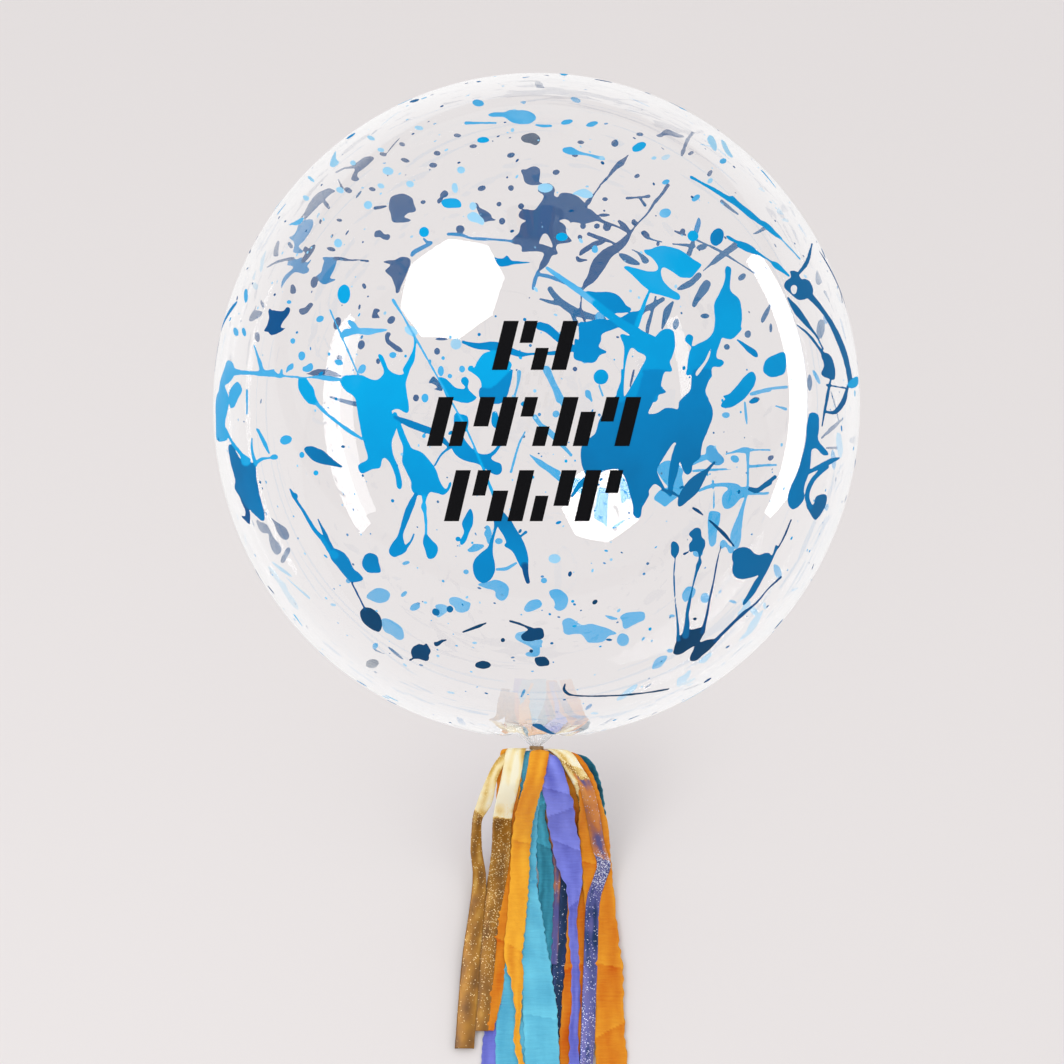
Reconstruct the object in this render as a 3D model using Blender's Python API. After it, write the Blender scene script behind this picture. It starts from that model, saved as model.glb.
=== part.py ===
"""A clear bubble balloon with a tassel of crepe and foil strips, lying at rest on a floor.

Metres, +Z up. The origin is the middle of the balloon's small flat resting spot, on the floor.
The balloon is drawn upright, neck down and front towards -Y, and is then laid down: its neck
axis points forward and dips below the horizontal, so that its front faces up and forward. The
strips fall from the tie to the floor and lie on it, one over another.
"""

import math

import bmesh
import bpy
from mathutils import Matrix, Vector

MM = 0.001

# Envelope of stretched film, measured across and along its neck axis
BALLOON_WIDTH = 0.600
BALLOON_HEIGHT = 0.616
NECK_DIP = math.radians(30.0)
FLAT_SPOT_RADIUS = 0.045

# Puckered film round the neck
DIMPLE_RADIUS = 0.052
DIMPLE_DEPTH = 0.010
DIMPLE_BULGE = 0.0025
FUNNEL_RADIUS = 0.019
NECK_RADIUS = 0.0037
NECK_REACH = 0.008
PLEATS = 12
PLEAT_DEPTH = 0.0022

# Thread wound round the neck, which also holds the strips
TIE_LENGTH = 0.004
TIE_WALL = 0.0024
TIE_EDGE = 0.0006

# Clearance between pieces that touch
TOUCH_GAP = 0.0003

# Tassel
STRIP_THICKNESS = 0.0006
TIED_GAP = 0.0004
FALLING_GAP = 0.0014
LYING_GAP = 0.0008
TIED_LAYERS = 12
PINCH_WIDTH = 0.0026
PINCH_SPACING = 0.0004
PINCH_LENGTH = 0.014
LANDING = 0.150
MOST_LAYERS_PER_STEP = 0.5

# Facets
MERGED_BELOW = 1e-6
SMOOTH_BELOW = math.radians(30.0)
PROFILE_STEPS = 30
DIMPLE_STEPS = 4
FUNNEL_STEPS = 4
AROUND = 4 * PLEATS
TIE_AROUND = 24
FINE_STEP = 0.005
COARSE_STEP = 0.010
FINE_UNTIL = 0.120

# Strips, lowest first: name, material, width, column in the tied bundle, then the middle line as
# (right, down) from the tie in millimetres, as seen from the front. A width that changes along
# the strip, where it is twisted or folded, is a list of (down, share of the width).
STRIPS = (
    ("violet_strip_back", "violet_crepe", 26, -1.5,
     ((-14, 40), (-24, 100), (-29, 160), (-33, 220), (-36, 263), (-39, 295), (-42, 350)), ()),
    ("sky_strip_back", "sky_crepe", 32, -0.5,
     ((-12, 40), (-20, 100), (-22, 160), (-22, 235), (-22, 295), (-19, 345)), ()),
    ("teal_strip_right", "teal_crepe", 20, 1.5,
     ((22, 7), (36, 15), (46, 28), (52, 45), (55, 62), (54, 90), (52, 120), (50, 160), (48, 210)), ()),
    ("navy_ribbon", "night_foil", 13, 0.5,
     ((13, 30), (22, 77), (29, 131), (27, 152), (24, 180), (20, 213), (16, 268)), ()),
    ("mauve_ribbon", "night_foil", 11, 1.5,
     ((9, 30), (13, 70), (15, 100), (17.7, 124), (16.5, 142), (15.5, 180), (14, 204)), ()),
    ("orange_strip_inner", "orange_crepe", 30, 0.5,
     ((22, 21), (33, 40), (41, 68), (44, 96), (44.5, 142), (43, 189), (39, 235), (35, 295), (34, 340)), ()),
    ("gold_ribbon_right", "gold_foil", 18, 1.5,
     ((20, 12), (35, 27), (45, 42), (50, 62), (53, 90), (57, 120), (60, 150), (63, 190), (66, 230)), ()),
    ("orange_strip_outer", "orange_crepe", 29, 1.5,
     ((24, 11), (41, 27), (48, 42), (53, 68), (56, 105), (59.5, 142), (63, 180), (67, 212), (67, 240),
      (70, 295), (72, 336)), ((24, 0.45), (44, 0.62), (75, 1.0))),
    ("purple_ribbon", "night_foil", 13, 1.5,
     ((30, 20), (47, 42), (54, 68), (58.5, 94), (64, 112), (59, 129), (53.5, 147), (52, 170), (51, 198),
      (49, 235), (48, 263), (45.5, 295), (44, 325)), ()),
    ("teal_strip_front", "teal_crepe", 15, 0.5,
     ((9.5, 16), (8.5, 28), (4.5, 46), (0.5, 63), (4, 82), (7.4, 105), (9.3, 124), (8.4, 150),
      (5, 235)), ()),
    ("sky_strip_front", "sky_crepe", 32, -0.5,
     ((-9, 30), (-15, 70), (-16, 124), (-12, 152), (-5.6, 189), (-1, 217), (2.3, 235), (4.7, 272),
      (5.6, 295), (8, 350)), ()),
    ("violet_strip_front", "violet_crepe", 26, 0.5,
     ((15, 38), (22, 56), (24, 72), (27, 86), (31.5, 114), (35.5, 133), (35, 150), (34, 170), (36.5, 198),
      (37, 235), (34.5, 263), (35, 295), (36, 330)),
     ((104, 1.0), (133, 0.62), (150, 0.32), (263, 0.30), (300, 0.42), (330, 0.55))),
    ("orange_strip_left", "orange_crepe", 22, -1.5,
     ((-21, 9), (-26, 40), (-29, 77), (-32, 114), (-34, 142), (-39, 189), (-42, 226), (-46, 262)),
     ((226, 1.0), (262, 0.55))),
    ("gold_ribbon_front", "gold_foil", 18, -1.5,
     ((-16, 9), (-25, 40), (-32, 66), (-33.5, 96), (-38.5, 133), (-44, 161), (-47, 189), (-51, 232),
      (-54, 262)), ()),
    ("gold_ribbon_left", "gold_foil", 18, -0.5,
     ((-24, 12), (-41, 34), (-49, 54), (-56, 68), (-57, 96), (-54, 124), (-56, 152), (-60.5, 189),
      (-64, 235), (-67, 277)), ((34, 0.55), (54, 0.80), (68, 0.50), (100, 0.62), (150, 0.80), (210, 1.0))),
    ("orange_strip_front", "orange_crepe", 18, 0.5,
     ((3, 12), (-3, 40), (-11, 63), (-15, 96), (-16, 124), (-19.5, 170), (-22, 193), (-18, 221), (-17, 245),
      (-18.5, 268), (-13, 295), (-10, 322)), ((193, 1.0), (222, 0.62), (245, 0.30), (322, 0.36))),
)

# Finish of each material: linear colour, roughness, metallic value, opacity
FINISHES = {
    "clear_film": ((0.90, 0.93, 0.96), 0.04, 0.0, 0.25),
    "tie_thread": ((0.45, 0.30, 0.14), 0.45, 0.0, 1.0),
    "orange_crepe": ((0.92, 0.33, 0.02), 0.85, 0.0, 1.0),
    "sky_crepe": ((0.10, 0.50, 0.78), 0.85, 0.0, 1.0),
    "teal_crepe": ((0.02, 0.28, 0.42), 0.85, 0.0, 1.0),
    "violet_crepe": ((0.20, 0.16, 0.70), 0.85, 0.0, 1.0),
    "gold_foil": ((0.72, 0.42, 0.10), 0.30, 1.0, 1.0),
    "night_foil": ((0.05, 0.05, 0.22), 0.30, 1.0, 1.0),
}

# Directions of the balloon as it lies: towards its right, its neck and its front
RIGHT = Vector((1.0, 0.0, 0.0))
NECKWARD = Vector((0.0, -math.cos(NECK_DIP), -math.sin(NECK_DIP)))
FRONTWARD = Vector((0.0, -math.sin(NECK_DIP), math.cos(NECK_DIP)))


def clear_scene():
    """Removes what the scene holds at the start."""
    for thing in list(bpy.data.objects):
        bpy.data.objects.remove(thing)


def material(name):
    """The named finish as a Principled material, made once."""
    found = bpy.data.materials.get(name)
    if found:
        return found
    colour, roughness, metallic, opacity = FINISHES[name]
    made = bpy.data.materials.new(name)
    made.use_nodes = True
    shader = made.node_tree.nodes["Principled BSDF"]
    shader.inputs["Base Color"].default_value = (*colour, 1.0)
    shader.inputs["Roughness"].default_value = roughness
    shader.inputs["Metallic"].default_value = metallic
    shader.inputs["Alpha"].default_value = opacity
    return made


def add_object(name, shape, finish):
    """Links a bmesh as a named object with one material, shaded smooth but for its sharp edges."""
    bmesh.ops.recalc_face_normals(shape, faces=shape.faces)
    mesh = bpy.data.meshes.new(name)
    shape.to_mesh(mesh)
    shape.free()
    mesh.materials.append(material(finish))
    mesh.shade_smooth()
    mesh.set_sharp_from_angle(angle=SMOOTH_BELOW)
    bpy.context.scene.collection.objects.link(bpy.data.objects.new(name, mesh))


def ease(share):
    """A smooth step from 0 to 1."""
    share = min(max(share, 0.0), 1.0)
    return share * share * (3.0 - 2.0 * share)


def balloon_centre():
    """The envelope's middle, placed so that the flat spot is round the origin."""
    across, along = BALLOON_WIDTH / 2, BALLOON_HEIGHT / 2
    reach = math.hypot(across * math.cos(NECK_DIP), along * math.sin(NECK_DIP))
    lowest = (
        NECKWARD * (along**2 * math.sin(NECK_DIP) / reach)
        - FRONTWARD * (across**2 * math.cos(NECK_DIP) / reach)
    )
    return -lowest * math.sqrt(1.0 - (FLAT_SPOT_RADIUS / across) ** 2)


def tie_distance():
    """From the envelope's middle to the tie's upper face."""
    return BALLOON_HEIGHT / 2 + NECK_REACH


def laid_down():
    """The matrix that takes the upright balloon, neck down and front towards -Y, to its lying place."""
    turn = Matrix((RIGHT, -FRONTWARD, -NECKWARD)).transposed().to_4x4()
    return Matrix.Translation(balloon_centre()) @ turn


def envelope_profile():
    """(radius, height) pairs of the upright envelope from the crown down to the cut neck."""
    across, along = BALLOON_WIDTH / 2, BALLOON_HEIGHT / 2
    last = math.pi - math.asin(DIMPLE_RADIUS / across)
    points = []
    for step in range(PROFILE_STEPS + 1):
        angle = last * step / PROFILE_STEPS
        points.append((across * math.sin(angle), along * math.cos(angle)))
    rim_height = points[-1][1]
    floor_height = -along + DIMPLE_DEPTH
    for step in range(1, DIMPLE_STEPS + 1):
        share = step / DIMPLE_STEPS
        bulge = math.sin(math.pi * share) * DIMPLE_BULGE
        radius = DIMPLE_RADIUS + (FUNNEL_RADIUS - DIMPLE_RADIUS) * share
        points.append((radius, rim_height + (floor_height - rim_height) * ease(share) - bulge))
    neck_height = -tie_distance()
    for step in range(1, FUNNEL_STEPS + 1):
        share = step / FUNNEL_STEPS
        radius = FUNNEL_RADIUS + (NECK_RADIUS - FUNNEL_RADIUS) * math.sin(share * math.pi / 2)
        points.append((radius, floor_height + (neck_height - floor_height) * share))
    points.append((NECK_RADIUS, neck_height - TIE_LENGTH))
    points.append((0.0, neck_height - TIE_LENGTH))
    return points


def pleat_share(radius, height):
    """How deep the pleats are at a place on the film: none on the taut part and at the tie."""
    if height > 0.0 or radius > DIMPLE_RADIUS:
        return 0.0
    inward = (DIMPLE_RADIUS - radius) / (DIMPLE_RADIUS - FUNNEL_RADIUS)
    outward = (radius - NECK_RADIUS) / (FUNNEL_RADIUS - NECK_RADIUS)
    return max(min(inward, outward, 1.0), 0.0)


def make_envelope():
    """The film balloon: a spun profile, pleated at the neck, laid down and cut flat where it rests."""
    shape = bmesh.new()
    rim = [shape.verts.new((radius, 0.0, height)) for radius, height in envelope_profile()]
    edges = [shape.edges.new(pair) for pair in zip(rim, rim[1:])]
    bmesh.ops.spin(
        shape,
        geom=rim + edges,
        cent=(0.0, 0.0, 0.0),
        axis=(0.0, 0.0, 1.0),
        angle=2.0 * math.pi,
        steps=AROUND,
        use_merge=True,
    )
    bmesh.ops.remove_doubles(shape, verts=shape.verts, dist=MERGED_BELOW)
    for vert in shape.verts:
        radius = math.hypot(vert.co.x, vert.co.y)
        share = pleat_share(radius, vert.co.z)
        if share > 0.0:
            around = math.atan2(vert.co.y, vert.co.x)
            grown = 1.0 + share * PLEAT_DEPTH / radius * math.cos(PLEATS * around)
            vert.co.x *= grown
            vert.co.y *= grown
    bmesh.ops.transform(shape, matrix=laid_down(), verts=shape.verts)
    cut = bmesh.ops.bisect_plane(
        shape,
        geom=shape.verts[:] + shape.edges[:] + shape.faces[:],
        dist=MERGED_BELOW,
        plane_co=(0.0, 0.0, 0.0),
        plane_no=(0.0, 0.0, -1.0),
        clear_outer=True,
    )
    ring = [item for item in cut["geom_cut"] if isinstance(item, bmesh.types.BMEdge)]
    bmesh.ops.contextual_create(shape, geom=ring)
    add_object("balloon_envelope", shape, "clear_film")


def make_tie():
    """The thread wound round the neck, as one turned ring with rounded edges."""
    inner = NECK_RADIUS + TOUCH_GAP
    outer = inner + TIE_WALL
    top = -tie_distance()
    bottom = top - TIE_LENGTH
    section = (
        (inner, bottom),
        (outer - TIE_EDGE, bottom),
        (outer, bottom + TIE_EDGE),
        (outer, top - TIE_EDGE),
        (outer - TIE_EDGE, top),
        (inner, top),
    )
    shape = bmesh.new()
    corners = [shape.verts.new((radius, 0.0, height)) for radius, height in section]
    edges = [shape.edges.new(pair) for pair in zip(corners, corners[1:] + corners[:1])]
    bmesh.ops.spin(
        shape,
        geom=corners + edges,
        cent=(0.0, 0.0, 0.0),
        axis=(0.0, 0.0, 1.0),
        angle=2.0 * math.pi,
        steps=TIE_AROUND,
        use_merge=True,
    )
    bmesh.ops.transform(shape, matrix=laid_down(), verts=shape.verts)
    add_object("neck_tie", shape, "tie_thread")


def through(points, at):
    """A smooth line through (place, value) points, with no overshoot, read at a place."""
    places = [place for place, _ in points]
    values = [value for _, value in points]
    if at <= places[0]:
        return values[0]
    if at >= places[-1]:
        return values[-1]
    slopes = [(values[k + 1] - values[k]) / (places[k + 1] - places[k]) for k in range(len(points) - 1)]
    bends = [slopes[0]]
    for before, after in zip(slopes, slopes[1:]):
        bends.append(2 * before * after / (before + after) if before * after > 0 else 0.0)
    bends.append(slopes[-1])
    k = max(index for index, place in enumerate(places) if place <= at)
    span = places[k + 1] - places[k]
    s = (at - places[k]) / span
    return (
        values[k] * (1 + 2 * s) * (1 - s) ** 2
        + bends[k] * span * s * (1 - s) ** 2
        + values[k + 1] * s * s * (3 - 2 * s)
        + bends[k + 1] * span * s * s * (s - 1)
    )


def tassel_top():
    """The middle of the tie's lower face, where every strip starts."""
    return balloon_centre() + NECKWARD * (tie_distance() + TIE_LENGTH + TOUCH_GAP)


def underside(down):
    """How far frontward of the tie the tassel's underside is: it falls to the floor, then lies on it."""
    on_floor = (down * math.sin(NECK_DIP) - tassel_top().z) / math.cos(NECK_DIP)
    at_tie = -TIED_LAYERS * (STRIP_THICKNESS + TIED_GAP) / 2
    fallen = ease(down / LANDING)
    return at_tie * (1.0 - fallen) + on_floor * fallen


def pitch(down):
    """Frontward distance from one layer of strips to the next, widest where they fall most steeply."""
    steep_from, steep_until = LANDING / 3, LANDING * 2 / 3
    gaps = ((0.0, TIED_GAP), (steep_from, FALLING_GAP), (steep_until, FALLING_GAP), (LANDING, LYING_GAP))
    return STRIP_THICKNESS + through(gaps, down)


def stations(length):
    """Places down a strip, close together where it falls, and the same for every strip."""
    places = []
    down = 0.0
    while down < length - COARSE_STEP / 2:
        places.append(down)
        down += FINE_STEP if down < FINE_UNTIL else COARSE_STEP
    return places + [length]


def strip_edges(width, column, line, folds, down):
    """(left, right) edges of a strip at a place down from the tie."""
    tied = column * (PINCH_WIDTH + PINCH_SPACING)
    middle = through([(0.0, tied)] + [(d * MM, across * MM) for across, d in line], down)
    share = through([(d * MM, part) for d, part in folds], down) if folds else 1.0
    spread = ease(down / PINCH_LENGTH)
    half = (PINCH_WIDTH + (width * MM * share - PINCH_WIDTH) * spread) / 2
    return middle - half, middle + half


def covers(first, second, k):
    """True if two strips share any place across, next to station k."""
    for near in range(k - 1, k + 2):
        if 0 <= near < min(len(first), len(second)):
            if first[near][0] < second[near][1] and second[near][0] < first[near][1]:
                return True
    return False


def stacked(edges, below):
    """The layer of a strip at each station, so that it lies on every strip that it crosses."""
    layers = []
    for k in range(len(edges)):
        layer = 0.0
        for other_edges, other_layers in below:
            if covers(edges, other_edges, k):
                near = other_layers[max(k - 1, 0) : k + 2]
                layer = max(layer, max(near) + 1.0)
        layers.append(layer)
    for order in (range(1, len(layers)), range(len(layers) - 2, -1, -1)):
        step = -1 if order.step > 0 else 1
        for k in order:
            layers[k] = max(layers[k], layers[k + step] - MOST_LAYERS_PER_STEP)
    return layers


def make_strip(name, finish, places, edges, layers):
    """A flat strip as one closed solid, lofted through its stations."""
    origin = tassel_top()
    shape = bmesh.new()
    sections = []
    for down, (left, right), layer in zip(places, edges, layers):
        base = origin + NECKWARD * down + FRONTWARD * (underside(down) + layer * pitch(down))
        corners = []
        for across, lift in ((left, 0.0), (right, 0.0), (right, STRIP_THICKNESS), (left, STRIP_THICKNESS)):
            corners.append(shape.verts.new(base + RIGHT * across + FRONTWARD * lift))
        sections.append(corners)
    shape.faces.new(sections[0])
    shape.faces.new(sections[-1])
    for above, under in zip(sections, sections[1:]):
        for k in range(4):
            shape.faces.new((above[k], above[(k + 1) % 4], under[(k + 1) % 4], under[k]))
    add_object(name, shape, finish)


def make_tassel():
    """All strips, laid one on another in their order."""
    below = []
    for name, finish, width, column, line, folds in STRIPS:
        places = stations(line[-1][1] * MM)
        edges = [strip_edges(width, column, line, folds, down) for down in places]
        layers = stacked(edges, below)
        make_strip(name, finish, places, edges, layers)
        below.append((edges, layers))


def main():
    clear_scene()
    make_envelope()
    make_tie()
    make_tassel()


main()
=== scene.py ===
"""Looks of the bubble balloon: clear film, blue paint, black strokes and a tassel of crepe and foil.

The balloon lies on a plain pale floor, its neck dipping towards -Y, and the camera looks down on
its front. Places read off the photograph are pixels of its 1064 x 1064 frame. The balloon is drawn
in its own axes, right, neckward and frontward, and then laid down.
"""

import math

import bpy
import numpy as np
from mathutils import Matrix, Vector


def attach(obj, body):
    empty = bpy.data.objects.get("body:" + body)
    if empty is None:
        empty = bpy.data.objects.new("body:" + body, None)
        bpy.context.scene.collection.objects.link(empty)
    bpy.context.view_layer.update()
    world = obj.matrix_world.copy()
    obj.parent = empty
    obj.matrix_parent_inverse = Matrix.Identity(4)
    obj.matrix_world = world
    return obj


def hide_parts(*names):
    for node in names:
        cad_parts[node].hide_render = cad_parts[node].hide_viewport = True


MM = 0.001

# Photograph: its frame, the balloon's middle in it, and metres for each pixel
PHOTO_SIZE = 1064
PHOTO_MIDDLE = PHOTO_SIZE / 2
PHOTO_BALLOON = (536.5, 406.0)
PIXEL = 0.600 / 645

# Camera
LENS = 135.0
SENSOR = 36.0
CAMERA_REACH = PHOTO_SIZE * PIXEL * LENS / SENSOR
CAMERA_END = 60.0

# Balloon
WIDTH = 0.600
HEIGHT = 0.616
HALVES = np.array([WIDTH, HEIGHT, WIDTH]) / 2
NECK_DIP = math.radians(30.0)
FLAT_SPOT_RADIUS = 0.045
FILM_THICKNESS = 0.0004

# Puckered film round the neck
DIMPLE_RADIUS = 0.052
DIMPLE_DEPTH = 0.010
FUNNEL_RADIUS = 0.017
FUNNEL_CURVE = 1.2
NECK_RADIUS = 0.0034
LEAST_NECK_RADIUS = 0.0016
NECK_REACH = 0.008
PLEAT_REACH = 0.110
TAUT_PLEAT = 0.0010
GATHERED_PLEAT = 0.0022
MOST_PLEAT_SHARE = 0.22
PLEAT_SCALE = 1.6

# Waves of the gathered film: how many round the neck, where they start, and their share
PLEAT_WAVES = ((9, 0.6, 1.0), (14, 2.1, 0.8), (23, 4.0, 0.55), (37, 1.0, 0.35))

# Fineness of the film
FILM_AROUND = 288
FILM_DOWN = 138
DIMPLE_ROWS = 15
FUNNEL_ROWS = 18

# Tie
TIE_LENGTH = 0.004
TIE_TURNS = 11
TIE_LAYERS = 3
LAYER_STEP = 1.7
THREAD_RADIUS = 0.00055
THREAD_SIDES = 8
STEPS_PER_TURN = 24
TOUCH_GAP = 0.0003

# Paint: its grid on each side of the film, then its edges and its body
PAINT_FRONT_CELL = 0.00125
PAINT_BACK_CELL = 0.0016
PAINT_FRONT_REACH = math.radians(101.0)
PAINT_BACK_REACH = math.radians(79.0)
PAINT_LIFT = 0.00006
PAINT_BODY = 0.00024
PAINT_ROUNDING = 0.0012
PAINT_MERGE = 0.0010
EDGE_WOBBLE = 0.00022
EDGE_MARGIN = 0.02
LEAST_HALF_WIDTH = 0.0007
BARE_NECK_RADIUS = 0.056
DRY = 1.0

# Paint shades: how softly one gives way to the next, their drift, and the darker band down the front
SHADE_SOFTNESS = 0.0016
SHADE_DRIFT = 0.16
GRADE = 0.10
GRADE_MIDDLE = 485.0
GRADE_REACH = 75.0

# Pixels round a shape in which the paint's grid looks for it, and a distance beyond them
BLOT_MARGIN = 8.0
RUN_MARGIN = 12.0
FAR = 99.0

# Sight of the film in the photograph: the edge that pixels stop at, and passes to find a place
FILM_EDGE = 0.992
SIGHT_PASSES = 6

# Black strokes
STROKE_LIFT = 0.0006
STROKE_SLANT = 12.0
STROKE_COLUMNS = 5
STROKE_ROWS_DOWN = 11

# Directions of the balloon as it lies
RIGHT = Vector((1.0, 0.0, 0.0))
NECKWARD = Vector((0.0, -math.cos(NECK_DIP), -math.sin(NECK_DIP)))
FRONTWARD = Vector((0.0, -math.sin(NECK_DIP), math.cos(NECK_DIP)))
AXES = np.array([RIGHT, NECKWARD, FRONTWARD])


def balloon_centre():
    """The envelope's middle, with its flat spot round the origin."""
    across, along = WIDTH / 2, HEIGHT / 2
    reach = math.hypot(across * math.cos(NECK_DIP), along * math.sin(NECK_DIP))
    neck_part = NECKWARD * (along**2 * math.sin(NECK_DIP) / reach)
    front_part = FRONTWARD * (across**2 * math.cos(NECK_DIP) / reach)
    return (front_part - neck_part) * math.sqrt(1.0 - (FLAT_SPOT_RADIUS / across) ** 2)


CENTRE = balloon_centre()
TASSEL_TOP = CENTRE + NECKWARD * (HEIGHT / 2 + NECK_REACH + TIE_LENGTH + TOUCH_GAP)


def ease(share):
    """A smooth step from 0 to 1."""
    share = np.clip(share, 0.0, 1.0)
    return share * share * (3.0 - 2.0 * share)


def laid(points):
    """Points (right, neckward, frontward) from the balloon's middle, as it lies in the scene."""
    return np.asarray(points) @ AXES + np.array(CENTRE)


def direction(vector):
    """A vector of length 1 that points the same way."""
    return vector / np.linalg.norm(vector)


def unit_rows(rows):
    """Each row of numbers as a vector of length 1."""
    return rows / np.linalg.norm(rows, axis=-1, keepdims=True)


def ripple(points, wavelength, seed, waves=7):
    """A smooth random field of about -1 to 1 over an array of points."""
    rng = np.random.default_rng(seed)
    points = np.asarray(points)
    total = np.zeros(points.shape[:-1])
    for _ in range(waves):
        way = rng.normal(size=points.shape[-1])
        way *= 2 * math.pi / (wavelength * rng.uniform(0.7, 1.5) * np.linalg.norm(way))
        total += np.sin(points @ way + rng.uniform(0, 2 * math.pi))
    return total / math.sqrt(waves)


def curve_between(a, b, c, d, t):
    """A smooth curve from b to c at share t, with a before them and d after them."""
    square = (2 * a - 5 * b + 4 * c - d) * t**2
    cube = (3 * b - a - 3 * c + d) * t**3
    return 0.5 * (2 * b + (c - a) * t + square + cube)


def grid_faces(first, rows, columns, closed=False):
    """Quads between rows of points; closed joins the two ends of each row."""
    faces = []
    for row in range(rows - 1):
        for k in range(columns if closed else columns - 1):
            a = first + row * columns + k
            b = first + row * columns + (k + 1) % columns
            faces.append((a, a + columns, b + columns, b))
    return faces


def make_mesh(name, points, faces, material, replaces=()):
    """A smooth-shaded piece from world points, riding on the part's one body."""
    mesh = bpy.data.meshes.new(name)
    mesh.from_pydata([tuple(p) for p in points], [], faces)
    mesh.materials.append(material)
    mesh.shade_smooth()
    piece = bpy.data.objects.new(name, mesh)
    bpy.context.scene.collection.objects.link(piece)
    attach(piece, "root")
    if replaces:
        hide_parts(*replaces)
    return piece


def keep_values(piece, name, values):
    """Stores one number for each point of a piece, for its material."""
    layer = piece.data.attributes.new(name, "FLOAT", "POINT")
    layer.data.foreach_set("value", np.ravel(values).astype(np.float32))


def pass_light(piece):
    """Lets light through a piece to what lies behind it."""
    piece.visible_shadow = False
    piece.visible_diffuse = False


# Materials


def new_material(name, roughness, metallic=0.0, colour=(0.8, 0.8, 0.8)):
    """A Principled material with its plain values; returns it, its tree and its shader."""
    material = bpy.data.materials.new(name)
    material.use_nodes = True
    tree = material.node_tree
    shader = tree.nodes["Principled BSDF"]
    shader.inputs["Base Color"].default_value = (*colour, 1.0)
    shader.inputs["Roughness"].default_value = roughness
    shader.inputs["Metallic"].default_value = metallic
    return material, tree, shader


def add(tree, kind, **values):
    """A node with its named properties and input values set."""
    node = tree.nodes.new(kind)
    for key, value in values.items():
        if hasattr(node, key):
            setattr(node, key, value)
        else:
            node.inputs[key.replace("_", " ")].default_value = value
    return node


def join(tree, output, target):
    """Links an output socket to an input socket."""
    tree.links.new(output, target)


def set_ramp(node, stops):
    """Gives a colour ramp its (place, colour) stops."""
    ramp = node.color_ramp
    while len(ramp.elements) > 1:
        ramp.elements.remove(ramp.elements[-1])
    ramp.elements[0].position = stops[0][0]
    ramp.elements[0].color = (*stops[0][1], 1.0)
    for place, colour in stops[1:]:
        ramp.elements.new(place).color = (*colour, 1.0)


def bump(tree, shader, height, strength, distance):
    """Raises a surface by a height that changes over it."""
    node = add(tree, "ShaderNodeBump", Strength=strength, Distance=distance)
    join(tree, height, node.inputs["Height"])
    join(tree, node.outputs["Normal"], shader.inputs["Normal"])


def film_material():
    """Clear stretched film."""
    material, _, shader = new_material("clear_film", 0.0, colour=(0.997, 0.998, 1.0))
    shader.inputs["Transmission Weight"].default_value = 1.0
    shader.inputs["IOR"].default_value = 1.37
    shader.inputs["Sheen Weight"].default_value = 0.5
    shader.inputs["Sheen Roughness"].default_value = 0.22
    return material


# Colour of the paint at each shade
PAINT_STOPS = (
    (0.00, (0.500, 0.760, 0.940)),
    (0.10, (0.330, 0.700, 0.980)),
    (0.18, (0.080, 0.460, 0.840)),
    (0.30, (0.000, 0.410, 0.820)),
    (0.38, (0.000, 0.350, 0.740)),
    (0.46, (0.000, 0.255, 0.610)),
    (0.60, (0.002, 0.155, 0.390)),
    (0.72, (0.006, 0.140, 0.350)),
    (0.82, (0.003, 0.088, 0.275)),
    (1.00, (0.003, 0.050, 0.125)),
)


def paint_material():
    """Matt paint whose shade follows each splash and drifts a little within it."""
    material, tree, shader = new_material("blue_paint", 0.75)
    shader.inputs["Specular IOR Level"].default_value = 0.1
    place = add(tree, "ShaderNodeTexCoord")
    noise = add(tree, "ShaderNodeTexNoise", Scale=16.0, Detail=3.0, Roughness=0.55)
    join(tree, place.outputs["Object"], noise.inputs["Vector"])
    drift = add(tree, "ShaderNodeMath", operation="MULTIPLY_ADD")
    join(tree, noise.outputs["Fac"], drift.inputs[0])
    drift.inputs[1].default_value = SHADE_DRIFT
    drift.inputs[2].default_value = -SHADE_DRIFT / 2
    shade = add(tree, "ShaderNodeAttribute", attribute_name="shade")
    total = add(tree, "ShaderNodeMath", operation="ADD")
    join(tree, shade.outputs["Fac"], total.inputs[0])
    join(tree, drift.outputs[0], total.inputs[1])
    ramp = add(tree, "ShaderNodeValToRGB")
    set_ramp(ramp, PAINT_STOPS)
    join(tree, total.outputs[0], ramp.inputs["Fac"])
    join(tree, ramp.outputs["Color"], shader.inputs["Base Color"])
    return material


def strokes_material():
    """Flat black vinyl with a faint grain."""
    material, tree, shader = new_material("black_vinyl", 0.9, colour=(0.004, 0.004, 0.005))
    shader.inputs["Specular IOR Level"].default_value = 0.1
    grain = add(tree, "ShaderNodeTexNoise", Scale=900.0, Detail=2.0)
    rough = add(tree, "ShaderNodeMapRange", To_Min=0.82, To_Max=0.96)
    join(tree, grain.outputs["Fac"], rough.inputs["Value"])
    join(tree, rough.outputs["Result"], shader.inputs["Roughness"])
    return material


# Crepe paper's ridges: waves per metre across and down the strip, and their detail
CREPE_RIDGES = ((150.0, 1500.0, 4.0), (40.0, 520.0, 3.0), (120.0, 30.0, 3.0))


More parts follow.
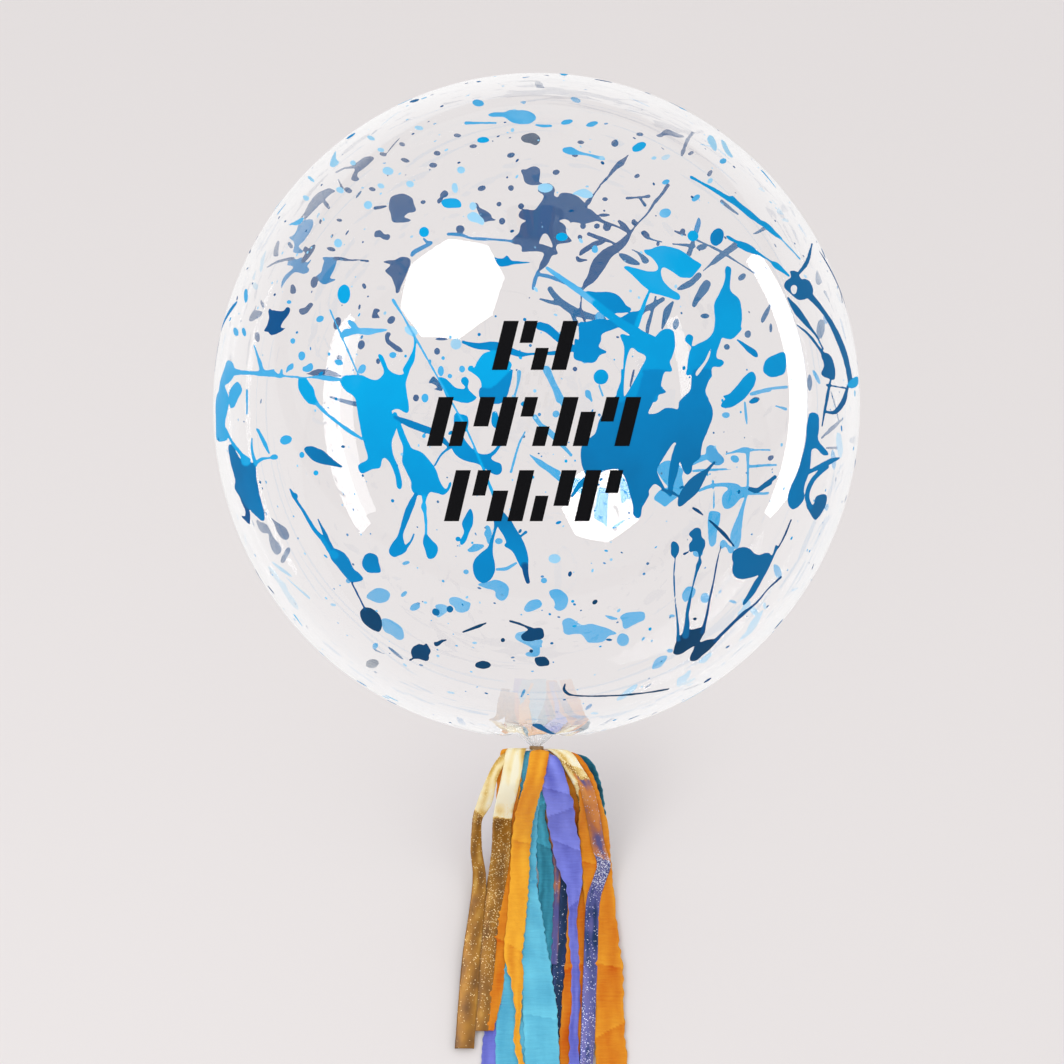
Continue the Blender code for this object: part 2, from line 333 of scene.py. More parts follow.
def wrinkle_group():
    """Crepe paper: fine ridges across the strip, from its own map in metres, over its tone of painted light
    and shade.
    """
    group = bpy.data.node_groups.new("crepe_wrinkles", "ShaderNodeTree")
    for socket in ("Light", "Dark"):
        group.interface.new_socket(name=socket, in_out="INPUT", socket_type="NodeSocketColor")
    group.interface.new_socket(name="Color", in_out="OUTPUT", socket_type="NodeSocketColor")
    group.interface.new_socket(name="Height", in_out="OUTPUT", socket_type="NodeSocketFloat")
    start = group.nodes.new("NodeGroupInput")
    end = group.nodes.new("NodeGroupOutput")
    strip = add(group, "ShaderNodeUVMap", uv_map="strip")
    tone = add(group, "ShaderNodeAttribute", attribute_name="tone")
    ridges = []
    for across, down, detail in CREPE_RIDGES:
        stretch = add(group, "ShaderNodeMapping", Scale=(across, down, 1.0))
        noise = add(group, "ShaderNodeTexNoise", Scale=1.0, Detail=detail, Roughness=0.6)
        join(group, strip.outputs["UV"], stretch.inputs["Vector"])
        join(group, stretch.outputs["Vector"], noise.inputs["Vector"])
        ridges.append(noise.outputs["Fac"])
    fine = add(group, "ShaderNodeMath", operation="MULTIPLY_ADD")
    join(group, ridges[0], fine.inputs[0])
    fine.inputs[1].default_value = 0.9
    join(group, ridges[1], fine.inputs[2])
    join(group, fine.outputs[0], end.inputs["Height"])
    # Random streaks and the ridges' painted shade, added to the strip's painted light and shade, mix the lit
    # and shaded colours.
    mixed = add(group, "ShaderNodeMath", operation="ADD")
    join(group, ridges[2], mixed.inputs[0])
    join(group, fine.outputs[0], mixed.inputs[1])
    drift = add(group, "ShaderNodeMapRange", From_Min=1.05, From_Max=1.85, To_Min=-0.13, To_Max=0.13)
    join(group, mixed.outputs[0], drift.inputs["Value"])
    level = add(group, "ShaderNodeMath", operation="ADD", use_clamp=True)
    join(group, drift.outputs["Result"], level.inputs[0])
    join(group, tone.outputs["Fac"], level.inputs[1])
    blend = add(group, "ShaderNodeMix", data_type="RGBA")
    join(group, level.outputs[0], blend.inputs["Factor"])
    join(group, start.outputs["Dark"], blend.inputs[6])
    join(group, start.outputs["Light"], blend.inputs[7])
    join(group, blend.outputs[2], end.inputs["Color"])
    return group


def crepe_material(name, group, light, dark):
    """Crepe paper of one colour, with its ridges in colour and bump; its light and dark colours are lit and
    shaded copies, mixed by painted light and shade.
    """
    material, tree, shader = new_material(name, 0.85)
    wrinkles = tree.nodes.new("ShaderNodeGroup")
    wrinkles.node_tree = group
    wrinkles.inputs["Light"].default_value = (*light, 1.0)
    wrinkles.inputs["Dark"].default_value = (*dark, 1.0)
    bump(tree, shader, wrinkles.outputs["Height"], 0.6, 0.0007)
    join(tree, wrinkles.outputs["Color"], shader.inputs["Base Color"])
    shader.inputs["Sheen Weight"].default_value = 0.08
    shader.inputs["Sheen Roughness"].default_value = 0.6
    shader.inputs["Specular IOR Level"].default_value = 0.15
    return material


def glitter_group():
    """Foil with glitter: tiny cells, some of them specks, more of them where the foil's glitter is, and the
    foil's painted light and shade with a slow drift.
    """
    group = bpy.data.node_groups.new("foil_glitter", "ShaderNodeTree")
    for socket in ("Speck", "Height", "Painted_light_and_drift"):
        group.interface.new_socket(name=socket, in_out="OUTPUT", socket_type="NodeSocketFloat")
    end = group.nodes.new("NodeGroupOutput")
    strip = add(group, "ShaderNodeUVMap", uv_map="strip")
    tone = add(group, "ShaderNodeAttribute", attribute_name="tone")
    amount = add(group, "ShaderNodeAttribute", attribute_name="glitter")
    cells = add(group, "ShaderNodeTexVoronoi", Scale=1500.0)
    join(group, strip.outputs["UV"], cells.inputs["Vector"])
    slow = add(group, "ShaderNodeTexNoise", Scale=60.0, Detail=3.0)
    join(group, strip.outputs["UV"], slow.inputs["Vector"])
    drift = add(group, "ShaderNodeMapRange", From_Min=0.3, From_Max=0.7, To_Min=-0.12, To_Max=0.12)
    join(group, slow.outputs["Fac"], drift.inputs["Value"])
    # The foil's colour is picked by the strip's painted light and shade, with a slow random drift.
    level = add(group, "ShaderNodeMath", operation="ADD", use_clamp=True)
    join(group, drift.outputs["Result"], level.inputs[0])
    join(group, tone.outputs["Fac"], level.inputs[1])
    join(group, level.outputs[0], end.inputs["Painted_light_and_drift"])
    picked = add(group, "ShaderNodeSeparateColor")
    join(group, cells.outputs["Color"], picked.inputs["Color"])
    speck = add(group, "ShaderNodeMath", operation="LESS_THAN")
    join(group, picked.outputs["Red"], speck.inputs[0])
    join(group, amount.outputs["Fac"], speck.inputs[1])
    join(group, speck.outputs[0], end.inputs["Speck"])
    join(group, picked.outputs["Green"], end.inputs["Height"])
    return group


def foil_material(name, group, stops, speck_colour, roughness, metallic):
    """Metallised ribbon: a colour picked by painted light and shade with a little drift, bright specks and a
    faceted bump.
    """
    material, tree, shader = new_material(name, roughness, metallic)
    glitter = tree.nodes.new("ShaderNodeGroup")
    glitter.node_tree = group
    ramp = add(tree, "ShaderNodeValToRGB")
    set_ramp(ramp, stops)
    join(tree, glitter.outputs["Painted_light_and_drift"], ramp.inputs["Fac"])
    blend = add(tree, "ShaderNodeMix", data_type="RGBA")
    join(tree, glitter.outputs["Speck"], blend.inputs["Factor"])
    join(tree, ramp.outputs["Color"], blend.inputs[6])
    blend.inputs[7].default_value = (*speck_colour, 1.0)
    join(tree, blend.outputs[2], shader.inputs["Base Color"])
    bump(tree, shader, glitter.outputs["Height"], 0.25, 0.0003)
    return material


def thread_material():
    """Brown twisted thread."""
    material, tree, shader = new_material("brown_thread", 0.6)
    place = add(tree, "ShaderNodeTexCoord")
    twist = add(tree, "ShaderNodeTexWave", Scale=420.0, Distortion=2.0, Detail=2.0)
    join(tree, place.outputs["Object"], twist.inputs["Vector"])
    ramp = add(tree, "ShaderNodeValToRGB")
    set_ramp(ramp, ((0.2, (0.16, 0.08, 0.03)), (0.8, (0.50, 0.30, 0.12))))
    join(tree, twist.outputs["Fac"], ramp.inputs["Fac"])
    join(tree, ramp.outputs["Color"], shader.inputs["Base Color"])
    bump(tree, shader, twist.outputs["Fac"], 0.5, 0.0003)
    return material


# Film


def film_profile():
    """(radius, neckward place) pairs from the crown to the neck, evenly fine."""
    across, along = WIDTH / 2, HEIGHT / 2
    angles = np.linspace(0.0, math.pi - math.asin(DIMPLE_RADIUS / across), FILM_DOWN)
    taut = np.stack([across * np.sin(angles), -along * np.cos(angles)], axis=1)
    rim, floor, neck = taut[-1, 1], along - DIMPLE_DEPTH, along + NECK_REACH
    share = np.linspace(0.0, 1.0, DIMPLE_ROWS)[1:]
    radius = DIMPLE_RADIUS + (FUNNEL_RADIUS - DIMPLE_RADIUS) * share
    dimple = np.stack([radius, rim + (floor - rim) * ease(share)], axis=1)
    share = np.linspace(0.0, 1.0, FUNNEL_ROWS)[1:]
    radius = FUNNEL_RADIUS + (NECK_RADIUS - FUNNEL_RADIUS) * share**FUNNEL_CURVE
    funnel = np.stack([radius, floor + (neck - floor) * share], axis=1)
    end = np.array([[NECK_RADIUS, neck + TIE_LENGTH]])
    return np.concatenate([taut, dimple, funnel, end])


def pleats(radius, around, neckward):
    """How far the gathered film stands off its round form, at arrays of places."""
    reach = PLEAT_REACH / 2
    towards_neck = ease((neckward - (HEIGHT / 2 - reach)) / reach)
    taut = ease((PLEAT_REACH - radius) / PLEAT_REACH) * TAUT_PLEAT
    gathered = ease((DIMPLE_RADIUS * 1.15 - radius) / (DIMPLE_RADIUS * 0.5)) * GATHERED_PLEAT
    size = np.minimum(taut + gathered, radius * MOST_PLEAT_SHARE) * towards_neck
    wave = sum(share * np.cos(count * around + start) for count, start, share in PLEAT_WAVES)
    return size * wave / PLEAT_SCALE


def film_face(inset):
    """Points of the film's outer or inner face, crown first, at a depth below the outer one."""
    profile = film_profile()
    slope = np.gradient(profile, axis=0)
    out = unit_rows(np.stack([slope[:, 1], -slope[:, 0]], axis=1))
    radius, neckward = profile[1:, :1], profile[1:, 1:]
    around = np.arange(FILM_AROUND) * 2 * math.pi / FILM_AROUND
    move = pleats(radius, around, neckward) - inset
    radius = np.maximum(radius + out[1:, :1] * move, LEAST_NECK_RADIUS)
    neckward = neckward + out[1:, 1:] * move
    rings = np.stack([radius * np.sin(around), neckward, radius * np.cos(around)], axis=-1)
    crown = np.array([[0.0, -HEIGHT / 2 + inset, 0.0]])
    world = laid(np.concatenate([crown, rings.reshape(-1, 3)]))
    world[:, 2] = np.maximum(world[:, 2], inset)
    return world


def make_film(material):
    """The balloon's film as a thin shell with an outer and an inner face, closed at the cut neck."""
    outer, inner = film_face(0.0), film_face(FILM_THICKNESS)
    half = len(outer)
    rows = (half - 1) // FILM_AROUND
    faces = grid_faces(1, rows, FILM_AROUND, True)
    faces += [(0, 1 + k, 1 + (k + 1) % FILM_AROUND) for k in range(FILM_AROUND)]
    faces += [tuple(half + corner for corner in face[::-1]) for face in faces]
    last = half - FILM_AROUND
    for k in range(FILM_AROUND):
        near = (k + 1) % FILM_AROUND
        faces.append((last + k, half + last + k, half + last + near, last + near))
    points = np.concatenate([outer, inner])
    film = make_mesh("balloon_film", points, faces, material, ["balloon_envelope"])
    pass_light(film)


# Paint


def on_film(x, y):
    """The place on the front of the round film, as a unit vector, that a photograph's pixel shows."""
    depth = 0.0
    for _ in range(SIGHT_PASSES):
        shrink = 1.0 - depth * (WIDTH / 2) / CAMERA_REACH
        right = (PHOTO_MIDDLE + (x - PHOTO_MIDDLE) * shrink - PHOTO_BALLOON[0]) * PIXEL / (WIDTH / 2)
        neckward = (PHOTO_MIDDLE + (y - PHOTO_MIDDLE) * shrink - PHOTO_BALLOON[1]) * PIXEL / (HEIGHT / 2)
        away = math.hypot(right, neckward)
        if away > FILM_EDGE:
            right, neckward, away = right * FILM_EDGE / away, neckward * FILM_EDGE / away, FILM_EDGE
        depth = math.sqrt(1.0 - away * away)
    return np.array([right, neckward, depth])


def film_point(units, lift):
    """Scene points over unit vectors on the film, lifted off it."""
    return laid(units * HALVES + unit_rows(units / HALVES) * np.asarray(lift)[..., None])


def neck_gap(units):
    """How far places on the film lie inside the bare ring round the neck, in metres."""
    radius = np.hypot(units[..., 0], units[..., 2]) * WIDTH / 2
    return np.where(units[..., 1] > 0.0, BARE_NECK_RADIUS - radius, -1.0)


class PaintField:
    """Signed distances in metres to the paint over one side of the film, on a grid round its middle."""

    def __init__(self, front, reach, cell, seed):
        self.side = 1.0 if front else -1.0
        count = int(2 * reach * (WIDTH / 2) / cell)
        self.line = np.linspace(-reach, reach, count)
        across, down = np.meshgrid(self.line, self.line, indexing="ij")
        self.units = self.unit(across, down)
        self.seen = self.units[..., 2] * self.side > 0.0
        straight = np.array(PHOTO_BALLOON) + self.units[..., :2] * HALVES[:2] / PIXEL
        shrink = 1.0 - self.units[..., 2:] * (WIDTH / 2) / CAMERA_REACH
        self.pixels = PHOTO_MIDDLE + (straight - PHOTO_MIDDLE) / shrink
        self.inside = np.hypot(across, down) < reach
        self.distance = np.full(across.shape, DRY)
        self.shade = np.zeros(across.shape)
        self.wobble = ripple(self.units, 0.045, seed) * 0.6 + ripple(self.units, 0.018, seed + 1) * 0.4

    def unit(self, across, down):
        """The unit vectors of places on the grid."""
        angle = np.hypot(across, down)
        spread = np.sinc(angle / math.pi)
        return np.stack([across * spread, down * spread, np.cos(angle) * self.side], axis=-1)

    def near(self, spots, margin):
        """The grid places whose pixels lie round the given ones."""
        spots = np.asarray(spots)
        low = spots.min(axis=0) - margin
        high = spots.max(axis=0) + margin
        close = self.seen & (self.pixels > low).all(axis=-1) & (self.pixels < high).all(axis=-1)
        return np.nonzero(close)

    def paint(self, where, gap, shade):
        """Joins a shape to the paint, given its signed distance at some grid places."""
        gap = gap + self.wobble[where] * EDGE_WOBBLE
        old = self.distance[where]
        cover = np.clip(0.5 - gap / SHADE_SOFTNESS, 0.0, 1.0)
        cover = np.maximum(cover, (old > 0.0) & (gap < old))
        self.shade[where] = self.shade[where] * (1 - cover) + shade * cover
        mix = np.clip(0.5 + 0.5 * (old - gap) / PAINT_MERGE, 0.0, 1.0)
        self.distance[where] = old * (1 - mix) + gap * mix - PAINT_MERGE * mix * (1 - mix)

    def outline(self, numbers):
        """Grid places round a closed outline, and their signed distance to it."""
        corners = np.array(numbers, dtype=float).reshape(-1, 2)
        steps = 3
        looped = np.concatenate([corners[-1:], corners, corners[:2]])
        four = (looped[k : k + len(corners), None] for k in range(4))
        curve = curve_between(*four, (np.arange(steps) / steps)[None, :, None]).reshape(-1, 2)
        where = self.near(curve, BLOT_MARGIN)
        spots = self.pixels[where]
        nearest = np.full(len(spots), FAR)
        within = np.zeros(len(spots), dtype=bool)
        for start, end in zip(curve, np.roll(curve, -1, axis=0)):
            way = end - start
            share = np.clip((spots - start) @ way / max(way @ way, 1e-9), 0.0, 1.0)
            nearest = np.minimum(nearest, np.linalg.norm(spots - start - share[:, None] * way, axis=1))
            if start[1] != end[1]:
                level = (spots[:, 1] - start[1]) / way[1]
                crossed = (start[1] > spots[:, 1]) != (end[1] > spots[:, 1])
                within ^= crossed & (spots[:, 0] < start[0] + way[0] * level)
        return where, np.where(within, -nearest, nearest) * PIXEL

    def run(self, numbers):
        """Grid places round a stroke of changing width, and their signed distance to it."""
        line = smooth_line(np.array(numbers, dtype=float).reshape(-1, 3))
        where = self.near(line[:, :2], RUN_MARGIN + line[:, 2].max() / 2)
        spots = self.pixels[where]
        nearest = np.full(len(spots), FAR)
        for start, end in zip(line, line[1:]):
            way = end[:2] - start[:2]
            share = np.clip((spots - start[:2]) @ way / max(way @ way, 1e-9), 0.0, 1.0)
            gap = np.linalg.norm(spots - start[:2] - share[:, None] * way, axis=1)
            half = np.maximum((start[2] + share * (end[2] - start[2])) / 2, LEAST_HALF_WIDTH / PIXEL)
            nearest = np.minimum(nearest, gap - half)
        return where, nearest * PIXEL

    def drop(self, numbers):
        """Grid places round an oval drop, and their rough signed distance to it."""
        x, y, width, height, tilt = numbers
        where = self.near([(x, y)], max(width, height) / 2 + BLOT_MARGIN)
        spots = self.pixels[where] - np.array([x, y])
        turn = math.radians(tilt)
        across = (spots[:, 0] * math.cos(turn) - spots[:, 1] * math.sin(turn)) / (width / 2)
        down = (spots[:, 0] * math.sin(turn) + spots[:, 1] * math.cos(turn)) / (height / 2)
        return where, (np.hypot(across, down) - 1.0) * min(width, height) / 2 * PIXEL

    def mesh(self, name, material):
        """Cuts the paint out of the grid along its edge, as beads that round down to the film."""
        field = np.maximum(np.where(self.inside, self.distance, DRY), neck_gap(self.units))
        wet = field < 0.0
        near_wet = wet[:-1, :-1] | wet[1:, :-1] | wet[:-1, 1:] | wet[1:, 1:]
        keys, spots, depths, shades, faces = {}, [], [], [], []

        def keep(key, spot, depth, shade):
            keys[key] = len(spots)
            spots.append(spot)
            depths.append(depth)
            shades.append(shade)

        def corner(i, j):
            if (i, j) not in keys:
                keep((i, j), (self.line[i], self.line[j]), -field[i, j], self.shade[i, j])
            return keys[i, j]

        def edge(i, j, m, n):
            key = (i, j, m, n) if (i, j) < (m, n) else (m, n, i, j)
            if key not in keys:
                share = field[i, j] / (field[i, j] - field[m, n])
                share = min(max(share, EDGE_MARGIN), 1.0 - EDGE_MARGIN)
                x = self.line[i] + (self.line[m] - self.line[i]) * share
                y = self.line[j] + (self.line[n] - self.line[j]) * share
                keep(key, (x, y), 0.0, self.shade[i, j] if wet[i, j] else self.shade[m, n])
            return keys[key]

        for i, j in np.argwhere(near_wet):
            ring = ((i, j), (i + 1, j), (i + 1, j + 1), (i, j + 1))
            face = []
            for k in range(4):
                one, two = ring[k], ring[(k + 1) % 4]
                if wet[one]:
                    face.append(corner(*one))
                if wet[one] != wet[two]:
                    face.append(edge(*one, *two))
            if len(face) > 2:
                faces.append(tuple(face) if self.side > 0 else tuple(face[::-1]))
        spots = np.array(spots)
        lift = PAINT_LIFT + PAINT_BODY * (1.0 - np.exp(-np.array(depths) / PAINT_ROUNDING))
        lay_paint(name, film_point(self.unit(spots[:, 0], spots[:, 1]), lift), faces, material, shades)


def lay_paint(name, points, faces, material, shades):
    """A piece of paint on the film, kept off the floor, with its shade at each point."""
    points[:, 2] = np.maximum(points[:, 2], 0.0)
    piece = make_mesh(name, points, faces, material)
    keep_values(piece, "shade", shades)
    pass_light(piece)


def smooth_line(points):
    """A smooth curve through rows of numbers, with three extra rows between each two."""
    steps = 4
    if len(points) < 3:
        return points
    padded = np.concatenate([2 * points[:1] - points[1:2], points, 2 * points[-1:] - points[-2:-1]])
    rows = []
    for k in range(1, len(padded) - 2):
        rows += [curve_between(*padded[k - 1 : k + 3], step / steps) for step in range(steps)]
    rows.append(points[-1])
    return np.array(rows)


# Shade of each tone of the paint, from 0, pale, to 1, navy
TONES = {
    "mist": 0.0,
    "pale": 0.08,
    "sky": 0.18,
    "cyan": 0.30,
    "azure": 0.38,
    "blue": 0.46,
    "deep": 0.60,
    "dusk": 0.72,
    "slate": 0.82,
    "navy": 0.97,
}

# Paint in the photograph's pixels. Blots are closed outlines of (x, y); runs are (x, y, width)
# along a stroke; drops are (x, y, width, height, tilt); gaps are bare places within the paint.
FRONT_BLOTS = {
    "cyan": (
        (341, 380, 344, 376, 352, 375, 362, 375, 368, 378, 375, 380, 380, 378, 384, 372, 381, 363, 378, 355,
        382, 355, 386, 363, 389, 370, 396, 374, 403, 374, 407, 368, 410, 369, 406, 382, 407, 394, 409, 410,
        406, 413, 399, 409, 393, 410, 392, 413, 396, 425, 395, 432, 392, 442, 393, 454, 398, 466, 402, 481,
        401, 489, 397, 487, 395, 476, 390, 463, 385, 458, 382, 460, 380, 468, 373, 469, 364, 473, 360, 472,
        358, 466, 361, 463, 367, 460, 367, 453, 362, 436, 358, 414, 355, 398, 346, 391, 341, 384), (395, 416,
        400, 426, 403, 438, 409, 447, 421, 452, 430, 461, 436, 470, 440, 481, 444, 488, 447, 488, 449, 483,
        451, 482, 451, 486, 448, 492, 443, 495, 436, 493, 430, 492, 427, 497, 425, 505, 423, 505, 422, 496,
        418, 495, 413, 492, 411, 487, 411, 481, 406, 471, 402, 461, 403, 447, 399, 432), (474, 370, 477, 362,
        483, 354, 491, 351, 502, 352, 508, 359, 512, 365, 507, 373, 499, 382, 490, 389, 483, 391, 480, 380,
        473, 373, 468, 370, 469, 366, 473, 366), (441, 202, 444, 199, 451, 198, 457, 199, 461, 203, 461, 207,
        455, 208, 447, 208, 443, 206), (644, 250, 651, 249, 656, 247, 663, 246, 675, 248, 685, 253, 693, 259,
        701, 264, 701, 266, 697, 271, 692, 277, 687, 278, 680, 277, 673, 272, 666, 268, 662, 268, 661, 273,
        663, 280, 670, 288, 679, 294, 680, 299, 676, 300, 670, 298, 663, 296, 656, 294, 651, 293, 647, 289,
        638, 281, 630, 273, 624, 268, 626, 266, 635, 268, 647, 271, 655, 271, 658, 268, 656, 263, 651, 257,
        646, 254), (299, 378, 306, 378, 309, 382, 314, 389, 316, 397, 319, 404, 315, 405, 308, 403, 303, 397,
        299, 390, 298, 384),
    ),
    "pale": (
        (405, 327, 412, 326, 417, 331, 417, 335, 412, 336, 406, 332), (572, 194, 579, 190, 585, 189, 591, 192,
        593, 195, 591, 198, 584, 198, 577, 195), (467, 216, 470, 213, 474, 212, 479, 215, 484, 220, 483, 225,
        477, 223, 470, 221), (332, 167, 330, 165, 332, 157, 336, 151, 336, 158, 339, 163, 334, 167), (710,
        135, 714, 138, 717, 147, 715, 151, 710, 145, 707, 139), (721, 140, 725, 142, 729, 150, 733, 157, 729,
        156, 724, 150),
    ),
    "sky": (
        (340, 337, 342, 332, 345, 329, 351, 328, 348, 323, 348, 320, 352, 321, 356, 324, 359, 328, 371, 328,
        386, 329, 386, 331, 377, 333, 368, 335, 356, 334, 346, 337), (488, 115, 491, 113, 497, 112, 504, 112,
        510, 110, 519, 110, 528, 111, 534, 114, 536, 118, 534, 121, 528, 124, 519, 124, 511, 122, 506, 118,
        501, 117, 492, 117), (288, 225, 294, 222, 301, 218, 304, 218, 302, 222, 297, 225, 292, 225), (220,
        382, 225, 367, 228, 360, 233, 363, 236, 369, 249, 371, 258, 371, 259, 367, 255, 351, 254, 345, 256,
        348, 259, 356, 262, 363, 265, 370, 274, 369, 275, 371, 279, 374, 281, 369, 283, 370, 284, 375, 297,
        376, 308, 377, 320, 375, 340, 378, 340, 381, 329, 381, 318, 379, 306, 378, 297, 378, 284, 377, 281,
        378, 272, 377, 258, 376, 253, 375, 236, 375, 233, 378, 229, 383, 225, 386, 228, 395, 229, 402, 228,
        409, 225, 423, 227, 433, 227, 440, 217, 440, 216, 419, 216, 400, 219, 390), (230, 407, 229, 398, 230,
        390, 235, 383, 238, 382, 241, 386, 242, 391, 238, 399, 235, 406, 232, 408), (286, 373, 287, 367, 290,
        364, 293, 363, 294, 366, 293, 369, 289, 371), (303, 371, 303, 367, 306, 366, 311, 363, 313, 366, 312,
        370, 308, 372),
    ),
    "azure": (
        (438, 378, 446, 379, 455, 387, 463, 389, 465, 387, 461, 382, 462, 378, 466, 377, 469, 381, 468, 388,
        473, 394, 477, 398, 468, 403, 456, 401, 447, 398, 443, 389), (454, 415, 461, 414, 468, 417, 468, 428,
        463, 436, 471, 447, 478, 453, 487, 454, 494, 450, 499, 443, 502, 444, 496, 453, 491, 458, 496, 462,
        501, 464, 502, 471, 498, 475, 491, 473, 480, 465, 466, 461, 457, 456, 452, 448, 455, 438), (426, 533,
        430, 538, 437, 545, 438, 551, 435, 557, 430, 559, 427, 557, 425, 550, 423, 543, 424, 536), (470, 508,
        473, 514, 473, 524, 469, 533, 466, 541, 462, 545, 460, 543, 462, 537, 464, 531, 462, 524, 465, 517),
        (721, 407, 722, 402, 725, 399, 723, 396, 729, 394, 735, 388, 744, 377, 750, 372, 754, 373, 756, 379,
        753, 388, 745, 398, 737, 404, 729, 408), (726, 236, 729, 236, 736, 240, 743, 242, 750, 246, 757, 254,
        750, 252, 743, 249, 738, 244, 729, 240), (690, 177, 692, 176, 706, 184, 715, 188, 728, 196, 733, 196,
        740, 203, 751, 211, 761, 220, 766, 222, 773, 228, 780, 238, 771, 232, 765, 228, 757, 223, 747, 216,
        738, 208, 729, 202, 722, 197, 712, 191, 701, 184, 691, 179), (725, 270, 727, 266, 731, 268, 731, 274,
        730, 284, 731, 291, 738, 298, 741, 306, 742, 318, 741, 326, 742, 329, 738, 334, 732, 339, 727, 339,
        722, 338, 720, 343, 717, 351, 717, 358, 722, 360, 724, 363, 720, 367, 713, 367, 711, 372, 712, 376,
        708, 382, 705, 390, 708, 402, 687, 402, 691, 388, 692, 376, 686, 375, 687, 368, 689, 353, 691, 347,
        685, 341, 686, 336, 689, 334, 693, 337, 692, 346, 699, 343, 707, 339, 713, 332, 715, 320, 714, 305,
        718, 296, 722, 288, 725, 278), (620, 336, 623, 334, 630, 336, 638, 334, 652, 344, 656, 336, 662, 330,
        669, 329, 674, 333, 675, 346, 672, 357, 670, 362, 672, 371, 665, 372, 662, 379, 661, 386, 666, 392,
        659, 393, 656, 402, 638, 402, 624, 400, 616, 396, 621, 382, 623, 368, 624, 347), (766, 229, 771, 230,
        778, 234, 782, 239, 776, 237, 769, 232), (763, 368, 766, 360, 774, 355, 783, 352, 786, 357, 785, 372,
        778, 376, 770, 377, 764, 373),
    ),
    "blue": (
        (513, 370, 508, 394, 499, 404, 481, 400, 480, 388, 491, 388, 503, 378, 509, 372), (494, 514, 499, 518,
        497, 527, 494, 538, 493, 547, 493, 555, 495, 564, 495, 571, 491, 579, 485, 583, 480, 582, 475, 577,
        473, 569, 474, 561, 479, 554, 487, 548, 490, 541, 494, 528), (495, 505, 510, 519, 515, 527, 521, 537,
        526, 548, 528, 557, 528, 566, 522, 568, 519, 564, 515, 556, 511, 550, 505, 547, 504, 544, 506, 542,
        502, 533, 498, 527, 495, 520), (643, 370, 666, 370, 664, 372, 661, 382, 661, 387, 666, 392, 662, 394,
        656, 396, 652, 405, 648, 413, 651, 414, 657, 413, 665, 408, 672, 408, 678, 409, 679, 402, 684, 396,
        691, 389, 693, 370, 711, 370, 709, 379, 705, 392, 707, 398, 711, 405, 713, 415, 709, 427, 703, 442,
        701, 452, 700, 458, 693, 464, 692, 471, 688, 475, 684, 472, 681, 464, 679, 458, 676, 443, 672, 445,
        665, 455, 659, 465, 657, 471, 662, 483, 669, 495, 663, 490, 659, 486, 654, 484, 649, 490, 649, 495,
        646, 501, 642, 508, 641, 516, 637, 518, 633, 514, 633, 506, 631, 498, 627, 483, 622, 473, 616, 469,
        606, 470, 599, 474, 588, 477, 584, 471, 581, 461, 581, 449, 584, 441, 591, 437, 596, 432, 599, 421,
        606, 409, 616, 396, 628, 398, 634, 400, 638, 392, 641, 379), (494, 257, 497, 258, 503, 258, 507, 255,
        511, 260, 515, 261, 528, 262, 536, 260, 528, 263, 515, 264, 507, 266, 499, 266), (736, 339, 741, 341,
        749, 346, 756, 351, 758, 356, 755, 357, 748, 352, 741, 345), (586, 291, 596, 292, 610, 292, 619, 296,
        626, 305, 631, 308, 630, 312, 619, 313, 610, 312, 603, 306, 596, 301, 589, 295), (579, 323, 586, 322,
        599, 319, 613, 320, 619, 319, 630, 312, 638, 311, 644, 309, 641, 316, 637, 325, 631, 329, 621, 327,
        612, 330, 602, 334, 601, 341, 599, 347, 607, 352, 600, 355, 596, 361, 591, 363, 583, 362, 574, 359,
        574, 350, 575, 339, 579, 339), (229, 445, 233, 446, 238, 455, 245, 463, 254, 463, 256, 470, 257, 481,
        261, 500, 265, 517, 263, 521, 258, 518, 252, 512, 250, 510, 244, 506, 240, 497, 235, 489, 235, 480,
        232, 467, 229, 454), (304, 449, 310, 446, 317, 448, 324, 451, 327, 454, 335, 461, 343, 467, 337, 467,
        328, 465, 318, 463, 310, 458), (329, 549, 333, 548, 343, 552, 349, 559, 353, 568, 359, 573, 363, 578,
        361, 581, 351, 582, 344, 575, 336, 565, 331, 559), (362, 562, 365, 555, 371, 553, 377, 556, 379, 563,
        381, 572, 374, 573, 367, 572, 363, 567), (809, 414, 818, 415, 819, 428, 818, 440, 827, 451, 828, 455,
        823, 455, 817, 449, 812, 450, 811, 459, 809, 473, 804, 487, 804, 499, 798, 507, 792, 509, 788, 503,
        789, 491, 797, 473, 803, 453, 806, 436),
    ),
    "navy": (
        (521, 636, 524, 633, 530, 629, 535, 628, 542, 628, 544, 633, 543, 638, 536, 640, 529, 641, 523, 640),
        (535, 658, 539, 657, 545, 657, 549, 661, 549, 665, 544, 666, 538, 666, 535, 662), (411, 652, 413, 647,
        419, 644, 424, 645, 426, 643, 428, 645, 431, 651, 429, 655, 429, 659, 426, 661, 419, 659, 413, 658),
        (679, 637, 683, 633, 688, 630, 694, 629, 702, 627, 705, 627, 705, 632, 702, 637, 700, 642, 706, 640,
        712, 639, 717, 639, 715, 644, 710, 649, 703, 655, 697, 660, 692, 661, 690, 659, 691, 654, 695, 646,
        689, 649, 683, 653, 677, 655, 673, 653, 674, 649, 676, 642, 677, 639), (360, 612, 364, 608, 370, 608,
        377, 612, 381, 618, 382, 627, 379, 632, 373, 630, 366, 625, 361, 619),
    ),
    "deep": (
        (671, 549, 671, 544, 673, 541, 677, 543, 679, 547, 679, 552, 677, 556, 675, 558, 672, 556, 671, 553),
        (689, 535, 690, 532, 695, 528, 699, 528, 701, 531, 702, 537, 705, 540, 705, 546, 703, 551, 701, 557,
        702, 562, 700, 567, 698, 571, 696, 569, 696, 565, 698, 560, 698, 553, 695, 551, 690, 552, 689, 548,
